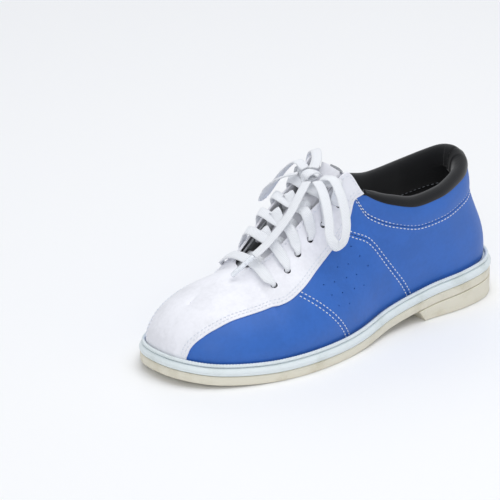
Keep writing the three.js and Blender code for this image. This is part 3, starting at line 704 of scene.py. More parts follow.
# ---- what a user would change ----
class ShoeSizes(bpy.types.PropertyGroup):
    """Sizes of the sewn and laced details."""

    lace_width: bpy.props.FloatProperty(
        name="Lace width", description="Width of the flat lace", default=0.0075, min=0.004, max=0.012,
        subtype="DISTANCE", unit="LENGTH",
    )
    lace_thickness: bpy.props.FloatProperty(
        name="Lace thickness", description="Thickness of the flat lace", default=0.0015, min=0.0005,
        max=0.003, subtype="DISTANCE", unit="LENGTH",
    )
    stitch_pitch: bpy.props.FloatProperty(
        name="Stitch pitch", description="Distance from one stitch to the next", default=0.0030,
        min=0.0015, max=0.006, subtype="DISTANCE", unit="LENGTH",
    )
    stitch_width: bpy.props.FloatProperty(
        name="Thread width", description="Width of one stitch", default=0.0008, min=0.0003, max=0.002,
        subtype="DISTANCE", unit="LENGTH",
    )
    perforation: bpy.props.FloatProperty(
        name="Perforation", description="Diameter of the air holes in the side panels", default=0.001,
        min=0.0005, max=0.003, subtype="DISTANCE", unit="LENGTH",
    )


def colour_property(name, description, default):
    return bpy.props.FloatVectorProperty(
        name=name, description=description, subtype="COLOR", size=4, min=0, max=1, default=default
    )


class ShoeColours(bpy.types.PropertyGroup):
    """Colours of the leathers, rubbers and threads."""

    side_leather: colour_property("Side leather", "Blue side panels", linear(48, 104, 190))
    vamp_leather: colour_property("Vamp leather", "White vamp and facings", linear(240, 240, 246))
    sidewall: colour_property("Sidewall", "White wall of the sole", linear(228, 236, 238))
    outsole: colour_property("Outsole", "Cream tread and heel", linear(230, 225, 208))
    collar: colour_property("Collar", "Black padded lining", linear(11, 12, 16))
    lace: colour_property("Lace", "White lace", linear(244, 246, 250))
    thread: colour_property("Thread", "White sewing thread", linear(232, 236, 244))


def sizes():
    return bpy.context.scene.shoe_sizes


def colours():
    return bpy.context.scene.shoe_colours


def lace_width():
    return sizes().lace_width / MM


def finish_of(finish):
    """The material of one finish, made when it is first asked for."""
    key = f"{finish}_finish"
    if key in bpy.data.materials:
        return bpy.data.materials[key]
    c = colours()
    makers = {
        "blue_leather": lambda: leather(key, tuple(c.side_leather), 0.85, 0.06, 0.46),
        "white_leather": lambda: leather(key, tuple(c.vamp_leather), 0.6, 0.085, 0.44),
        "sidewall_white": lambda: rubber(key, tuple(c.sidewall), linear(205, 214, 212), 0.5),
        "outsole_cream": lambda: rubber(key, tuple(c.outsole), linear(206, 198, 174), 0.55),
        "black_lining": lambda: textile(key, tuple(c.collar), 0.32, 0.05, 0.8, 0.35),
        "grey_lining": lambda: textile(key, linear(150, 152, 156), 0.32, 0.05),
        "slide_microfibre": lambda: plain(key, linear(176, 172, 162), 0.95, 2.0, depth=0.06),
        "lace_white": lambda: woven_lace(key, tuple(c.lace)),
        "thread_white": lambda: plain(key, tuple(c.thread), 0.7, 3.0),
        "thread_grey": lambda: plain(key, linear(120, 124, 130), 0.8, 3.0),
        "aglet_clear": lambda: plain(key, linear(236, 240, 246), 0.2, 0.6, depth=0.01, Coat_Weight=0.5),
        "eyelet_metal": lambda: plain(key, linear(60, 63, 70), 0.35, 1.5, metallic=0.8),
        "steel": lambda: plain(key, linear(140, 144, 150), 0.35, 1.2, metallic=1.0),
        "board": lambda: plain(key, linear(170, 142, 100), 0.9, 1.5, depth=0.08),
        "stiffener": lambda: plain(key, linear(214, 200, 170), 0.85, 1.2, depth=0.08),
        "foam": lambda: plain(key, linear(228, 214, 150), 0.95, 1.4, depth=0.2),
    }
    return makers[finish]()


# ---- pieces ----
class SHOE_OT_bottom_unit(bpy.types.Operator):
    """Makes the cream outsole and heel, the slide pad, the white wall and its bead"""

    bl_idname = "shoe.bottom_unit"
    bl_label = "Bottom Unit"

    def execute(self, context):
        pad_from, pad_to = -0.8 * HALF, -0.12 * HALF

        def low(lift):
            return lambda x: tread_z(x) + lift

        def recess(x):
            inside = smoothstep(pad_from - 1.5, pad_from - 0.5, x) - smoothstep(pad_to + 0.5, pad_to + 1.5, x)
            return tread_z(x) + 0.5 * inside

        outsole = ring_body([
            (1, 1.2, low(OUTSOLE)), (0.5, 1.2, low(OUTSOLE)), (0, 2.4, low(OUTSOLE)),
            (0, 1.5, low(OUTSOLE - 0.2)), (0, 1.2, low(OUTSOLE - 0.7)), (0, 1.2, low(OUTSOLE / 2)),
            (0, 1.2, low(1.1)), (0, 1.5, low(0.35)), (0, 2.2, low(0)), (0, 9.2, low(0)), (0, 9.6, recess),
            (0.35, 9.6, recess), (0.7, 9.6, recess), (1, 9.6, recess),
        ], 260)
        to_object("outsole_cream", outsole, finish_of("outsole_cream"), replaces=["outsole"])

        def pad_place(u, v):
            x = lerp(pad_from, pad_to, u)
            outer, _ = edge_point(np.interp(x, SPINE_X, SPINE_OUTER), np.full(len(x), PAD_INSET))
            inner, _ = edge_point(np.interp(x, SPINE_X, SPINE_INNER), np.full(len(x), PAD_INSET))
            y = lerp(outer[:, 1], inner[:, 1], v)
            return np.stack([x, y, tread_z(x) + PAD_THICKNESS], -1)

        pad_bm = grid(40, 30, pad_place)
        face_out(pad_bm, (None, 0, -1))
        pad = to_object("slide_pad_microfibre", pad_bm, finish_of("slide_microfibre"),
                        replaces=["slide_pad"])
        thicken(pad, PAD_THICKNESS, 0.3)

        heel = ring_body([
            (1, 1.2, low(-GAP)), (0.5, 1.2, low(-GAP)), (0, 2.0, low(-GAP)), (0, 1.3, low(-0.5)),
            (0, 1.2, low(-1.2)), (0, 1.2, lambda x: tread_z(x) * 0.5), (0, 1.2, fixed(1.3)),
            (0, 1.5, fixed(0.5)), (0, 2.4, fixed(0)), (0.5, 2.4, fixed(0)), (1, 2.4, fixed(0)),
        ], 260)
        breast = Vector((HEEL_BREAST * MM, 0, 0.01))
        lean = Vector((-1, 0, -0.75)).normalized()
        bmesh.ops.bisect_plane(
            heel, geom=heel.verts[:] + heel.edges[:] + heel.faces[:], dist=1e-6, plane_co=breast,
            plane_no=lean, clear_outer=True,
        )
        close_tube(heel)
        to_object("heel_block_cream", heel, finish_of("outsole_cream"),
                  replaces=["heel_block"])

        def bulge(level):
            return 1.2 - 1.2 * math.sin(math.pi * min(1, level * 1.1)) + 1.3 * level

        def wall_height(level):
            return lambda x: sidewall_base(x) + SIDEWALL * level

        levels = [0, 0.04, 0.12, 0.25, 0.4, 0.55, 0.7, 0.82, 0.9, 0.95, 0.985, 1]
        section = [(1, 2, wall_height(0)), (0, 3, wall_height(0))]
        section += [
            (0, bulge(level) + 0.5 * max(0, 0.04 - level) / 0.04 + 1.2 * max(0, level - 0.93) / 0.07,
             wall_height(level)) for level in levels
        ]
        section += [(0, 4.5, wall_height(1)), (1, 4.5, wall_height(1))]
        to_object("sidewall", ring_body(section, 260), finish_of("sidewall_white"),
                  replaces=["midsole"])

        teeth, per_tooth, around = 300, 4, 8

        def bead_place(u, v):
            side = 2 * u - 1
            knurl = 1 + 0.13 * np.cos(2 * math.pi * u * teeth)
            turn = 2 * math.pi * v
            reach = BEAD_RADIUS * knurl * np.cos(turn)
            edge, _ = edge_point(side, FEATHER_INSET - BEAD_RADIUS - 1.7 - reach)
            base, _ = edge_point(side, np.full(len(side), FEATHER_INSET - BEAD_RADIUS - 1.7))
            z = feather_z(base[:, 0]) + GAP + BEAD_RADIUS * (1 + knurl * np.sin(turn))
            return np.concatenate([edge, z[:, None]], -1)

        bead = grid(teeth * per_tooth, around, bead_place)
        close_tube(bead)
        to_object("knurled_bead", bead, finish_of("sidewall_white"),
                  replaces=["welt_bead"])

        board_inset = FEATHER_INSET + PANEL + LINING + LINING + 3 * LAYER_GAP + GAP

        def liner_height(level):
            return lambda x: feather_z(x) + GAP + BOARD + GAP + LINER * level

        liner = ring_body([
            (1, board_inset, liner_height(0)), (0, board_inset + 0.5, liner_height(0)),
            (0, board_inset, liner_height(0.2)), (0, board_inset, liner_height(0.7)),
            (0, board_inset + 0.8, liner_height(0.95)), (0, board_inset + 2, liner_height(1)),
            (0.4, board_inset + 2, liner_height(0.97)), (1, board_inset, liner_height(0.95)),
        ], 220)
        to_object("sock_liner_cloth", liner, finish_of("black_lining"),
                  replaces=["sock_liner"])
        return {"FINISHED"}


SIDES = (("lateral", -1), ("medial", 1))


def perforations(sign):
    """Three slanting rows of air holes below the white edge of the middle panel."""
    places = []
    for row in range(3):
        for step in range(5):
            share = 0.445 + 0.032 * step + 0.006 * row
            rise = float(vamp_edge(share)) - 0.12 - 0.11 * row - (0.055 if step % 2 else 0)
            side = np.array([sign * share])
            places.append((on_upper(side, np.array([rise]), 0)[0], upper_normal(side, np.array([rise]))[0]))
    return places


class SHOE_OT_side_panels(bpy.types.Operator):
    """Makes the blue side panels with their air holes, and the blue collar band"""

    bl_idname = "shoe.side_panels"
    bl_label = "Side Panels"

    def execute(self, context):
        spans = [
            ("forepart", fixed(VAMP_FRONT - 0.0004), front_seam, 110, 1.6),
            ("middle", front_seam, rear_seam, 70, 1.0),
            ("quarter", rear_seam, fixed(1.0), 90, 1.0),
        ]
        for side_name, sign in SIDES:
            for name, start, end, columns, warp in spans:
                shrink = 0.0003

                def panel_offset(side, rise):
                    return np.zeros(np.shape(side))

                bm = upper_sheet(
                    lambda v: sign * (start(v) + shrink), lambda v: sign * (end(v) - shrink),
                    fixed(FOOT_RISE), blue_top, panel_offset, columns, 40, warp,
                )
                piece = to_object(f"{side_name}_{name}_leather", bm, finish_of("blue_leather"),
                                  replaces=[f"{side_name}_{name}"])
                thicken(piece, PANEL, 0.35)
                if name == "middle":
                    punch(piece, perforations(sign), sizes().perforation / MM / 2, 6, 10)

        def puff(side, rise):
            level = (rise - collar_seam(side)) / (1 - collar_seam(side))
            behind_tab = smoothstep(0.655, 0.705, np.abs(turned(side)))
            return 1.1 * behind_tab * np.sin(math.pi * np.clip(level, 0, 1)) ** 0.8 - 0.1

        band = upper_sheet(
            lambda v: -band_front(v), lambda v: band_front(v) - 2,
            lambda side: collar_seam(side) + 0.3 / upper_length(side), fixed(1.0), puff, 220, 18,
        )
        piece = to_object("collar_band_leather", band, finish_of("blue_leather"),
                          replaces=["collar_band"])
        thicken(piece, PANEL, 0.4)
        return {"FINISHED"}


def eyelet_place(sign, pair):
    side = np.array([sign * lerp(0.33, 0.585, pair / (EYELET_PAIRS - 1))])
    setback = EYELET_SETBACK + 3.5 * max(0, 2 - pair)
    rise = 1 - setback / upper_length(side)
    return {"side": side, "rise": rise, "point": upper(side, rise)[0], "normal": upper_normal(side, rise)[0]}


EYELETS = {(sign, pair): eyelet_place(sign, pair) for _, sign in SIDES for pair in range(EYELET_PAIRS)}


class SHOE_OT_vamp(bpy.types.Operator):
    """Makes the white vamp that runs on into both facings, its lining and the eyelets"""

    bl_idname = "shoe.vamp"
    bl_label = "Vamp and Facings"

    def execute(self, context):
        columns, rows = 190, 56
        shares = through([
            (0, 0), (0.16, VAMP_FRONT - 0.0015), (0.17, VAMP_FRONT), (0.24, 0.083), (0.4, 0.15),
            (1, 0.6465),
        ])

        def half(sign):
            def place(u, v):
                share = shares(u)
                low = np.where(share < VAMP_FRONT, FOOT_RISE, vamp_edge(share))
                rise = np.minimum(lerp(low, 1, v), 1)
                return on_upper(sign * share, rise, VAMP_RISE)

            return grid(columns, rows, place)

        bm = half(-1)
        other = half(1)
        bmesh.ops.reverse_faces(other, faces=other.faces)
        joined = bpy.data.meshes.new("half")
        other.to_mesh(joined)
        other.free()
        bm.from_mesh(joined)
        bpy.data.meshes.remove(joined)
        bmesh.ops.remove_doubles(bm, verts=bm.verts, dist=0.02 * MM)
        face_out(bm)
        toe_middle = float(crest_middle(0.15)) * MM
        ridge = [v for v in bm.verts
                 if v.co.x < -0.07 and abs(v.co.y - toe_middle) < 0.014 and not v.is_boundary]
        for _ in range(12):
            bmesh.ops.smooth_vert(
                bm, verts=ridge, factor=0.5, use_axis_x=True, use_axis_y=True, use_axis_z=True,
            )
        vamp = to_object("vamp_white_leather", bm, finish_of("white_leather"),
                         replaces=["vamp"])
        thicken(vamp, PANEL, 0.45)
        punch(vamp, [(p["point"], p["normal"]) for p in EYELETS.values()],
              EYELET_BORE + 0.2, 10, 20)

        lining_seam = 0.285
        front = upper_sheet(
            fixed(-lining_seam), fixed(lining_seam), fixed(FOOT_RISE), fixed(1.0), LINING_OFFSET, 60, 30,
        )
        bmesh.ops.remove_doubles(front, verts=front.verts, dist=0.02 * MM)
        piece = to_object("vamp_lining_cloth", front, finish_of("grey_lining"),
                          replaces=["vamp_lining"])
        thicken(piece, LINING, 0.2, 1)

        def lining_top(side):
            return np.where(np.abs(turned(side)) < 0.6, 0.52, collar_seam(side) - 0.3 / upper_length(side))

        back = upper_sheet(
            fixed(-lining_seam - 0.001), fixed(lining_seam + 0.001 - 2), fixed(FOOT_RISE), lining_top,
            LINING_OFFSET, 200, 16,
        )
        piece = to_object("quarter_lining_cloth", back, finish_of("grey_lining"),
                          replaces=["quarter_lining"])
        thicken(piece, LINING, 0.2, 1)

        for side_name, sign in SIDES:
            backing = upper_sheet(
                fixed(sign * (THROAT + 0.03)), fixed(sign * 0.6),
                lambda side: np.minimum(vamp_edge(np.abs(turned(side))), 0.8) + 0.03, fixed(0.985),
                BACKING_OFFSET, 50, 14,
            )
            piece = to_object(f"{side_name}_facing_cloth", backing, finish_of("grey_lining"),
                              replaces=[f"{side_name}_facing_backing"])
            thicken(piece, LINING, 0.2, 1)
            row = [EYELETS[sign, pair] for pair in range(EYELET_PAIRS)]
            punch(piece, [(eyelet["point"], eyelet["normal"]) for eyelet in row],
                  EYELET_BORE + EYELET_WALL + 0.15, 14, 16)
            for pair in range(EYELET_PAIRS):
                self.eyelet(side_name, pair, EYELETS[sign, pair])
        return {"FINISHED"}

    def eyelet(self, side_name, pair, place):
        outer = EYELET_BORE + EYELET_WALL
        profile = [
            (EYELET_BORE, EYELET_FLANGE - 0.35), (EYELET_BORE + 0.3, EYELET_FLANGE - EYELET_WALL),
            (outer + 0.9, EYELET_FLANGE - EYELET_WALL), (outer + 1.1, EYELET_FLANGE - 0.25),
            (outer + 0.9, EYELET_FLANGE), (outer, EYELET_FLANGE), (outer, -0.15), (outer - 0.15, 0),
            (EYELET_BORE + 0.1, 0), (EYELET_BORE, -0.15),
        ]
        bm = bmesh.new()
        points = [bm.verts.new((r * MM, 0, h * MM)) for r, h in profile]
        edges = [bm.edges.new((points[i], points[(i + 1) % len(points)])) for i in range(len(points))]
        bmesh.ops.spin(bm, geom=points + edges, cent=(0, 0, 0), axis=(0, 0, 1), angle=2 * math.pi,
                       steps=24, use_merge=True)
        bmesh.ops.recalc_face_normals(bm, faces=bm.faces)
        turn = Vector((0, 0, 1)).rotation_difference(Vector(place["normal"])).to_matrix().to_4x4()
        bm.transform(Matrix.Translation(Vector(place["point"]) * MM) @ turn)
        to_object(f"{side_name}_eyelet_ring_{pair + 1}", bm, finish_of("eyelet_metal"),
                  replaces=[f"{side_name}_eyelet_{pair + 1}"])


class SHOE_OT_collar(bpy.types.Operator):
    """Makes the black padded collar that rolls over the top of the blue band"""

    bl_idname = "shoe.collar"
    bl_label = "Padded Collar"

    def execute(self, context):
        inside = LINING_OFFSET - LINING - LAYER_GAP
        roll_at = through([(0.64, 0.6), (0.66, 0.7), (0.72, 1), (0.82, 1), (1, HEEL_ROLL / COLLAR_ROLL)],
                          flat_ends=True)
        cover = [
            (0.4, -0.2), (-0.3, 0.25), (-2.6, 0.15), (-4.9, -1.3), (-6.2, -4.2), (-5.4, -7.4), (-3, -9.2),
            (1.5, -9.9), (6, -9.8), (11, -9.5), (15, -8.6), (17.2, -7.9), (18.4, -8.1), (21, -7.6),
            (BAND_HEIGHT + 6, inside - LINING), (BAND_HEIGHT + 6, inside), (14, inside), (4, -4.5),
            (0.8, -2.2),
        ]
        section = catmull_rom(cover, 4, closed=True)
        section = np.vstack([section, section[:1]])
        last = len(section) - 1
        rings = 240
        start = 0.65

        def place(u, v):
            side = lerp(-start, start - 2, u)
            share = np.abs(turned(side))
            at = np.rint(v * last).astype(int)
            down, offset = section[at, 0], section[at, 1]
            taper = smoothstep(start - 0.001, start + 0.022, share)
            fuller = 1 + 0.35 * smoothstep(0.86, 1, share) * (down < 4)
            down = np.where(down < 0, down * roll_at(share), down) * lerp(0.75, 1, taper)
            offset = np.where(offset < -1, lerp(-2.4, offset * fuller, lerp(0.3, 1, taper)), offset)
            return near_crest(side, down, offset)

        bm = grid(rings, last, place)
        close_tube(bm)
        roll = to_object("collar_padded", bm, finish_of("black_lining"),
                         replaces=["collar_lining", "collar_foam"], sharp=False)
        return {"FINISHED"}


# ---- tongue ----
TONGUE_BASE, TONGUE_TOP, TONGUE_WING = 0.22, 0.6, 22.0


def bridge(share, across, offset):
    """The surface that closes the throat between the facings; across runs from -1 to 1."""
    half = crest_half(share)
    open_part = half / (half + TONGUE_WING)
    reach = np.abs(across)
    sign = np.where(across < 0, -1.0, 1.0)
    down = TONGUE_WING * np.maximum(reach - open_part, 0) / (1 - open_part)
    on_wing = on_upper(sign * share, 1 - down / upper_length(sign * share), offset)
    mix = np.clip((across / np.maximum(open_part, 1e-6) + 1) / 2, 0, 1)[:, None]
    ones = np.ones(len(share))
    between = lerp(on_upper(-share, ones, offset), on_upper(share, ones, offset), mix)
    return np.where((reach >= open_part)[:, None], on_wing, between)


def bridge_normal(share, across):
    half = crest_half(share)
    mix = np.clip((across / (half / (half + TONGUE_WING) + 1e-6) + 1) / 2, 0, 1)[:, None]
    high, lower = np.full(len(share), 0.9), np.full(len(share), 0.8)
    local = lerp(upper_normal(-share, high), upper_normal(share, high), mix)
    mean = unit(upper_normal(-share, lower) + upper_normal(share, lower))
    return unit(local + mean)


LACE_THICKNESS = 1.5
LACE_UNDER = EYELET_FLANGE - EYELET_WALL - GAP - LACE_THICKNESS / 2
LACE_SECOND = LACE_UNDER - LACE_THICKNESS - GAP - 0.2
LACE_OVER = VAMP_RISE + LAYER_GAP + LACE_THICKNESS / 2
TONGUE_ROOM = LINING_OFFSET - LINING - 2 * LAYER_GAP
TONGUE_DROP = TONGUE_ROOM - LACE_SECOND + LACE_THICKNESS / 2 + 3 * LAYER_GAP


class SHOE_OT_tongue(bpy.types.Operator):
    """Makes the padded tongue and its lining"""

    bl_idname = "shoe.tongue"
    bl_label = "Tongue"

    def execute(self, context):
        def layer(depth, puff, corner):
            def place(u, v):
                share = lerp(TONGUE_BASE, TONGUE_TOP, u)
                across = 2 * v - 1
                narrow = 1 - corner * smoothstep(0.93, 1, u) ** 2 * 0.25
                across = across * narrow
                sideways = np.sin(math.pi * np.clip(v, 0, 1)) ** 0.5
                lengthways = np.sin(math.pi * np.clip(u, 0.02, 0.98)) ** 0.3
                level = (depth - puff * sideways * lengthways)[:, None]
                return bridge(share, across, TONGUE_ROOM) - bridge_normal(share, across) * level

            bm = grid(90, 50, place)
            face_out(bm)
            smooth = [v for v in bm.verts if not v.is_boundary]
            for _ in range(6):
                bmesh.ops.smooth_vert(bm, verts=smooth, factor=0.5, use_axis_x=True, use_axis_y=True,
                                      use_axis_z=True)
            return bm

        pad = to_object("tongue_padded", layer(TONGUE_DROP + 0.6, 0.6, 1.0), finish_of("white_leather"),
                        "tongue", ["tongue_outer", "tongue_foam"])
        thicken(pad, 5.6, 2.0, 4)
        lining_drop = TONGUE_DROP + TONGUE_SKIN + 2 * LAYER_GAP + 3.4 + 2 * LAYER_GAP
        lining = to_object("tongue_lining_cloth", layer(lining_drop, 0.0, 1.0), finish_of("grey_lining"),
                           "tongue", ["tongue_lining"])
        thicken(lining, TONGUE_SKIN, 0.3)
        return {"FINISHED"}


# ---- lace ----
def flat_size():
    return (lace_width(), sizes().lace_thickness / MM)


BUNCHED = (3.6, 2.0)


def along_facing(place, heading):
    return unit(heading - place["normal"] * np.dot(heading, place["normal"]))


def eyelet_stops(place, heading, over):
    """Stops of the lace through an eyelet, coming from under the facing or leaving on top of it."""
    forward = along_facing(place, heading)
    across = np.cross(place["normal"], forward)
    if over:
        spots = [(0.1, -0.5, BUNCHED), (0.5, LACE_OVER - 0.5, BUNCHED), (2.6, LACE_OVER + 0.5, (5, 1.9)),
                 (6, LACE_OVER + 0.8, flat_size())]
    else:
        spots = [(-6, LACE_UNDER, flat_size()), (-2.6, LACE_UNDER - 0.2, BUNCHED),
                 (-0.5, LACE_UNDER + 0.7, BUNCHED), (-0.1, EYELET_FLANGE + 0.6, BUNCHED)]
    return [(place["point"] + forward * a + place["normal"] * o, across, size) for a, o, size in spots]


def one(value):
    return np.array([float(value)])


def crossing(sign, pair, low):
    """The lace from an eyelet to the next one up on the other side."""
    start, end = EYELETS[sign, pair], EYELETS[-sign, pair + 1]
    heading = end["point"] - start["point"]
    share = (start["side"][0] * sign - end["side"][0] * sign) / 2
    step = (-end["side"][0] * sign - start["side"][0] * sign) * 0.2
    normal = unit(upper_normal(one(share), one(0.96))[0] + upper_normal(one(-share), one(0.96))[0])
    across = unit(np.cross(normal, heading))
    if pair == 0:
        forward = along_facing(start, heading)
        first = []
        for point, flat, size in eyelet_stops(start, heading, False)[::-1]:
            shift = np.dot(point - start["point"], forward)
            first.append((point - forward * 2 * shift, flat, size))
        level = LACE_SECOND if low else LACE_UNDER
        middle = [(bridge(one(share), one(0), level)[0], across, flat_size())]
    else:
        first = eyelet_stops(start, heading, True)
        level = LACE_UNDER + (0.3 if low else 2.5)
        middle = [
            (near_crest(one(sign * (share - step)), one(-3.2), LACE_OVER + 0.8)[0], across, flat_size()),
            (bridge(one(share), one(0), level)[0], across, flat_size()),
            (near_crest(one(-sign * (share + step)), one(-3.2), LACE_UNDER - 0.6)[0], across, flat_size()),
        ]
    return [*first, *middle, *eyelet_stops(end, heading, False)]


KNOT = np.array([-10.0, 4.0, 114.0])
KNOT_RADII = np.array([6.0, 8.0, 3.6])
RIDGE_NORMAL = np.array([-0.6, 0.0, 0.8])


def climb(sign):
    stops = []
    for pair in range(EYELET_PAIRS - 1):
        stops += crossing(sign if pair % 2 == 0 else -sign, pair, sign > 0)
    last_sign = sign if (EYELET_PAIRS - 1) % 2 == 0 else -sign
    top = EYELETS[last_sign, EYELET_PAIRS - 1]
    target = KNOT + np.array([0, last_sign * 5.5, -KNOT_RADII[2] - 1.3])
    heading = target - top["point"]
    across = unit(np.cross(RIDGE_NORMAL, heading))
    stops += eyelet_stops(top, heading, True)
    stops.append((near_crest(top["side"], one(-1), LACE_OVER + 1.7)[0], across, flat_size()))
    stops.append((target, across, flat_size()))
    return stops


def bar():
    """The straight run across the throat between the two lowest eyelets."""
    outer, inner = EYELETS[-1, 0], EYELETS[1, 0]
    heading = inner["point"] - outer["point"]
    start = eyelet_stops(outer, heading, True)
    end = [(p, -a, s) for p, a, s in eyelet_stops(inner, -heading, True)[::-1]]
    over = [(near_crest(eyelet["side"], one(0), LACE_OVER + 0.8)[0], start[3][1], flat_size())
            for eyelet in (outer, inner)]
    return [*start, *over, *end]


class SHOE_OT_lacing(bpy.types.Operator):
    """Threads the flat lace through the twelve eyelets"""

    bl_idname = "shoe.lacing"
    bl_label = "Lacing"

    def execute(self, context):
        outer = [(p, -a, s) for p, a, s in climb(-1)[::-1]]
        stops = [*outer, *bar(), *climb(1)]
        points, across, size = zip(*stops)
        bm, _ = ribbon(points, across, size)
        to_object("lace_threaded", bm, finish_of("lace_white"), replaces=["lace"], sharp=False)
        return {"FINISHED"}


# routes of the bow's loops and tails, from the knot outwards
ROUTES = {
    "lace_loop_lateral": [
        (-9, -5.4, 115), (-7, -14, 116), (-8, -23, 109), (-10, -30.5, 99), (-13, -36, 89), (-18, -39, 81),
        (-24, -39, 79), (-27, -36, 85), (-24, -31, 94), (-20, -23, 104), (-16.5, -14, 111),
        (-14.5, -6.8, 114),
    ],
    "lace_loop_medial": [
        (-8, 13.4, 116), (-8, 22, 119), (-9, 32, 112), (-13, 38.5, 102), (-20, 40, 94), (-27, 37, 93),
        (-27, 31, 102), (-22, 23, 110), (-14, 14.2, 114),
    ],
    "lace_tail_front": [
        (-17.3, 1, 112), (-26, -3, 107), (-38, -7, 97), (-50, -8.5, 87.5), (-60, -8, 79.5), (-69, -6, 73),
    ],
    "lace_tail_rear": [
        (-8, 5, 118.7), (-2, 9, 122.5), (4, 17, 125), (10, 28, 120), (14, 36, 108), (15, 39, 96),
    ],
}
AGLET_LENGTH, AGLET_RADIUS = 20.0, 1.7


def away_from_foot(point):
    return unit(np.array([-4, point[1] - 4, point[2] - 84]))


class SHOE_OT_bow(bpy.types.Operator):
    """Ties the bow: its knot, two loops, and two tails with their aglets"""

    bl_idname = "shoe.bow"
    bl_label = "Bow"

    def execute(self, context):
        white = finish_of("lace_white")
        laid = {}
        for name, route in ROUTES.items():
            points = np.array(route, float)
            ahead = unit(np.gradient(points, axis=0))
            ridge = name == "lace_tail_front"
            lifts = [RIDGE_NORMAL if ridge else away_from_foot(p) for p in points]
            across = [unit(np.cross(lift, way)) for lift, way in zip(lifts, ahead)]
            bm, path = ribbon(points, across, [flat_size()] * len(points))
            piece = to_object(f"{name}_woven", bm, white, replaces=[name], sharp=False)
            laid[name] = (piece, path)
        self.knot(white)
        for end in ("front", "rear"):
            piece, path = laid[f"lace_tail_{end}"]
            aglet = self.aglet(end, path)
            tuple(path[0] * MM)
            path * MM
        for side_name, _ in SIDES:
            piece, path = laid[f"lace_loop_{side_name}"]
            tuple(path[0] * MM)
            path * MM
        return {"FINISHED"}

    def run(self, path):
        return float(np.linalg.norm(np.diff(path, axis=0), axis=1).sum()) * MM

    def aglet(self, end, path):
        heading = unit(path[-1] - path[-3])
        bm = bmesh.new()
        profile = [(0, 0), (1.2, 0), (1.55, 0.35), (AGLET_RADIUS, 1.2), (AGLET_RADIUS, 9), (1.62, 9.6),
                   (AGLET_RADIUS, 10.2), (AGLET_RADIUS, 18.6), (1.45, 19.7), (1.0, AGLET_LENGTH),
                   (0, AGLET_LENGTH)]
        points = [bm.verts.new((r * MM, 0, h * MM)) for r, h in profile]
        edges = [bm.edges.new(pair) for pair in zip(points, points[1:])]
        bmesh.ops.spin(bm, geom=points + edges, cent=(0, 0, 0), axis=(0, 0, 1), angle=2 * math.pi,
                       steps=20, use_merge=True)
        bmesh.ops.remove_doubles(bm, verts=bm.verts, dist=0.01 * MM)
        bmesh.ops.recalc_face_normals(bm, faces=bm.faces)
        turn = Vector((0, 0, 1)).rotation_difference(Vector(heading)).to_matrix().to_4x4()
        bm.transform(Matrix.Translation(Vector(path[-1] + heading * GAP) * MM) @ turn)
        return to_object(f"aglet_{end}_tip", bm, finish_of("aglet_clear"),
                         replaces=[f"aglet_{end}"])

    def knot(self, white):
        """A cinch of lace round the bow's middle, with one strand crossing over it."""
        bm, _ = self.loop_of_lace(5.2, 3.0, 0.0, 1.0)
        other, _ = self.loop_of_lace(4.4, 2.2, 0.9, 0.8)
        mesh = bpy.data.meshes.new("strand")
        other.to_mesh(mesh)
        other.free()
        bm.from_mesh(mesh)
        bpy.data.meshes.remove(mesh)
        bmesh.ops.recalc_face_normals(bm, faces=bm.faces)
        to_object("lace_knot_tied", bm, white, replaces=["lace_knot"], sharp=False)

    def loop_of_lace(self, long_radius, short_radius, lean, width):
        turns = np.linspace(0, 2 * math.pi * 1.02, 17)
        axis = unit(np.array([math.sin(lean), math.cos(lean), 0.15]))
        flat = unit(np.cross(axis, np.array([0, 0, 1.0])))
        lift = np.cross(flat, axis)
        points = [KNOT + flat * long_radius * math.cos(t) + lift * short_radius * math.sin(t)
                  + axis * 0.5 * t for t in turns]
        size = (lace_width() * width, 2.0)
        return ribbon(points, [axis] * len(points), [size] * len(points))


# ---- stitching ----
def stitch(bm, path, normal, pitch, width):
    """Single stitches along a line that lies on the leather."""
    along = np.concatenate([[0], np.cumsum(np.linalg.norm(np.diff(path, axis=0), axis=1))])
    count = int(along[-1] / pitch)
    if count < 1:
        return
    at = (np.arange(count) + 0.5) * along[-1] / count
    reach = 0.39 * pitch
    sample = lambda where, data: np.stack([np.interp(where, along, data[:, k]) for k in range(3)], -1)
    middle = sample(at, path)
    ahead = unit(sample(at + reach, path) - sample(at - reach, path))
    lift = sample(at, normal)
    lift = unit(lift - ahead * np.sum(lift * ahead, -1, keepdims=True))
    across = np.cross(lift, ahead)
    for p, a, c, n in zip(middle, ahead, across, lift):
        matrix = Matrix.Identity(4)
        for row in range(3):
            matrix[row][0] = a[row] * reach * MM
            matrix[row][1] = c[row] * width / 2 * MM
            matrix[row][2] = n[row] * width * 0.42 * MM
            matrix[row][3] = p[row] * MM
        bmesh.ops.create_icosphere(bm, subdivisions=1, radius=1.0, matrix=matrix)


def upper_line(sides, rises, offset):
    return on_upper(sides, rises, offset), upper_normal(sides, rises)


def inset_line(sides, rises, shift, offset):
    """A line on the upper moved sideways by shift millimetres, measured along the surface."""
    line = upper(sides, rises)
    ahead = unit(np.gradient(line, axis=0))
    normal = upper_normal(sides, rises)
    across = np.cross(normal, ahead)
    return line + across * shift + normal * offset, normal


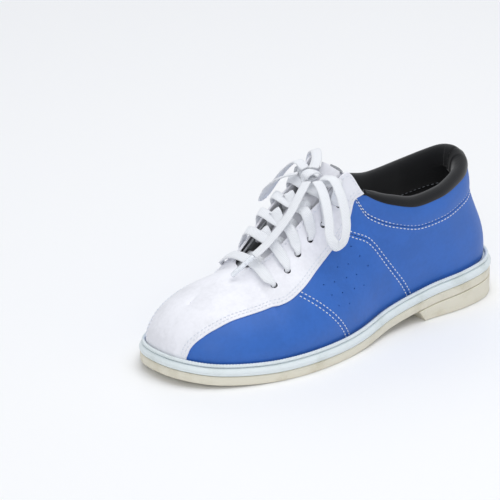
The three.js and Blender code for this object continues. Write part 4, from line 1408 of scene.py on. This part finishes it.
class SHOE_OT_stitching(bpy.types.Operator):
    """Sews the double rows of white stitches, and the grey row inside the collar"""

    bl_idname = "shoe.stitching"
    bl_label = "Stitching"

    def execute(self, context):
        pitch, width = sizes().stitch_pitch / MM, sizes().stitch_width / MM
        for side_name, sign in SIDES:
            vamp = bmesh.new()
            share = np.linspace(VAMP_FRONT + 0.0005, 0.643, 500)
            for shift in (2.2, 4.4):
                path, normal = inset_line(sign * share, vamp_edge(share), -sign * shift, VAMP_RISE)
                stitch(vamp, path, normal, pitch, width)
            share = np.linspace(0.312, 0.63, 300)
            for down in (2.4,):
                rise = 1 - down / upper_length(sign * share)
                stitch(vamp, *upper_line(sign * share, rise, VAMP_RISE), pitch, width)
            to_object(f"{side_name}_vamp_stitches", vamp, finish_of("thread_white"),
                      sharp=False)

            seams = bmesh.new()
            high = np.linspace(0, 1, 200)
            for seam in (front_seam, rear_seam):
                side = sign * seam(high)
                rise = lerp(FOOT_RISE, blue_top(side), high)
                keep = rise < blue_top(side) - 0.004
                for shift in (-1.7, 1.7):
                    path, normal = inset_line(side[keep], rise[keep], shift, 0.05)
                    stitch(seams, path, normal, pitch, width)
            to_object(f"{side_name}_seam_stitches", seams, finish_of("thread_white"),
                      sharp=False)

        collar = bmesh.new()
        for down, offset in ((BAND_HEIGHT - 1.6, 0.12), (BAND_HEIGHT + 1.7, 0.05)):
            start = 0.612 if down < BAND_HEIGHT else 0.6
            side = np.linspace(-start, start - 2, 900)
            rise = 1 - down / upper_length(side)
            stitch(collar, *upper_line(side, rise, offset), pitch, width)
        to_object("collar_seam_stitches", collar, finish_of("thread_white"), sharp=False)

        inner = bmesh.new()
        side = np.linspace(-0.7, 0.7 - 2, 700)
        path = near_crest(side, np.full(len(side), 17.2), -8.3)
        stitch(inner, path, -upper_normal(side, np.full(len(side), 0.9)), pitch * 1.1, width)
        to_object("collar_lining_stitches", inner, finish_of("thread_grey"), sharp=False)
        return {"FINISHED"}


class SHOE_OT_hidden_parts(bpy.types.Operator):
    """Gives the pieces inside the shoe their board, steel and stiffener finishes"""

    bl_idname = "shoe.hidden_parts"
    bl_label = "Inner Parts"

    def execute(self, context):
        finishes = {
            "shank": "steel", "insole_board": "board", "toe_puff": "stiffener", "heel_counter": "stiffener",
        }
        for node, key in finishes.items():
            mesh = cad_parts[node].data
            if not mesh.materials:
                mesh.materials.append(None)
            for i in range(len(mesh.materials)):
                mesh.materials[i] = finish_of(key)
        return {"FINISHED"}


class SHOE_OT_studio(bpy.types.Operator):
    """Sets up the pale floor, the soft lights and the camera"""

    bl_idname = "shoe.studio"
    bl_label = "Studio"

    def execute(self, context):
        scene = context.scene
        azimuth, elevation = math.radians(-40.0), math.radians(22.3)
        right = Vector((math.cos(azimuth), math.sin(azimuth), 0))
        above = Vector((-math.sin(azimuth) * math.sin(elevation), math.cos(azimuth) * math.sin(elevation),
                        math.cos(elevation)))
        back = Vector((math.sin(azimuth) * math.cos(elevation), -math.cos(azimuth) * math.cos(elevation),
                       math.sin(elevation)))
        camera_data = bpy.data.cameras.new("camera")
        camera_data.lens = 313.0
        camera_data.sensor_width = 36.0
        camera_data.clip_end = 50.0
        camera = bpy.data.objects.new("camera", camera_data)
        scene.collection.objects.link(camera)
        aim = right * -0.0529 + above * 0.0543
        camera.location = back * 3.0
        camera.rotation_euler = (camera.location - aim).to_track_quat("Z", "Y").to_euler()
        scene.camera = camera

        bm = bmesh.new()
        bmesh.ops.create_grid(bm, x_segments=1, y_segments=1, size=8.0)
        mesh = bpy.data.meshes.new("floor")
        bm.to_mesh(mesh)
        bm.free()
        floor = bpy.data.objects.new("floor", mesh)
        scene.collection.objects.link(floor)
        mesh.materials.append(Finish("floor_pale", Base_Color=linear(250, 250, 251), Roughness=0.9).material)

        world = bpy.data.worlds.new("studio")
        world.use_nodes = True
        world.node_tree.nodes["Background"].inputs["Color"].default_value = (0.93, 0.96, 1.0, 1)
        world.node_tree.nodes["Background"].inputs["Strength"].default_value = 0.56
        scene.world = world
        lights = [
            ("overhead", (0.1, -0.2, 1.6), 1.6, 12.5),
            ("front", (-1.3, -1.4, 1.1), 1.2, 6.5),
            ("rear", (0.9, 1.3, 1.2), 1.0, 2.5),
        ]
        for name, spot, size, power in lights:
            data = bpy.data.lights.new(name, "AREA")
            data.shape = "DISK"
            data.size = size
            data.energy = power
            light = bpy.data.objects.new(name, data)
            scene.collection.objects.link(light)
            light.location = spot
            light.rotation_euler = (Vector(spot) - Vector((0, 0, 0.05))).to_track_quat("Z", "Y").to_euler()
        scene.view_settings.view_transform = "Standard"
        return {"FINISHED"}


STEPS = (
    SHOE_OT_studio, SHOE_OT_lacing, SHOE_OT_bow, SHOE_OT_bottom_unit, SHOE_OT_side_panels, SHOE_OT_vamp,
    SHOE_OT_collar, SHOE_OT_tongue, SHOE_OT_stitching, SHOE_OT_hidden_parts,
)


class SHOE_PT_panel(bpy.types.Panel):
    """Lists the sizes, the colours and the steps that make the shoe"""

    bl_idname = "SHOE_PT_panel"
    bl_label = "Bowling Shoe"
    bl_space_type = "VIEW_3D"
    bl_region_type = "UI"
    bl_category = "Shoe"

    def draw(self, context):
        for group in (context.scene.shoe_sizes, context.scene.shoe_colours):
            for name in group.__annotations__:
                self.layout.prop(group, name)
        for step in STEPS:
            self.layout.operator(step.bl_idname)


CLASSES = (ShoeSizes, ShoeColours, *STEPS, SHOE_PT_panel)


def register():
    for cls in CLASSES:
        bpy.utils.register_class(cls)
    bpy.types.Scene.shoe_sizes = bpy.props.PointerProperty(type=ShoeSizes)
    bpy.types.Scene.shoe_colours = bpy.props.PointerProperty(type=ShoeColours)


def unregister():
    del bpy.types.Scene.shoe_colours
    del bpy.types.Scene.shoe_sizes
    for cls in reversed(CLASSES):
        bpy.utils.unregister_class(cls)


def main():
    register()
    for step in STEPS:
        group, name = step.bl_idname.split(".")
        getattr(getattr(bpy.ops, group), name)()


if __name__ == "__main__":
    main()
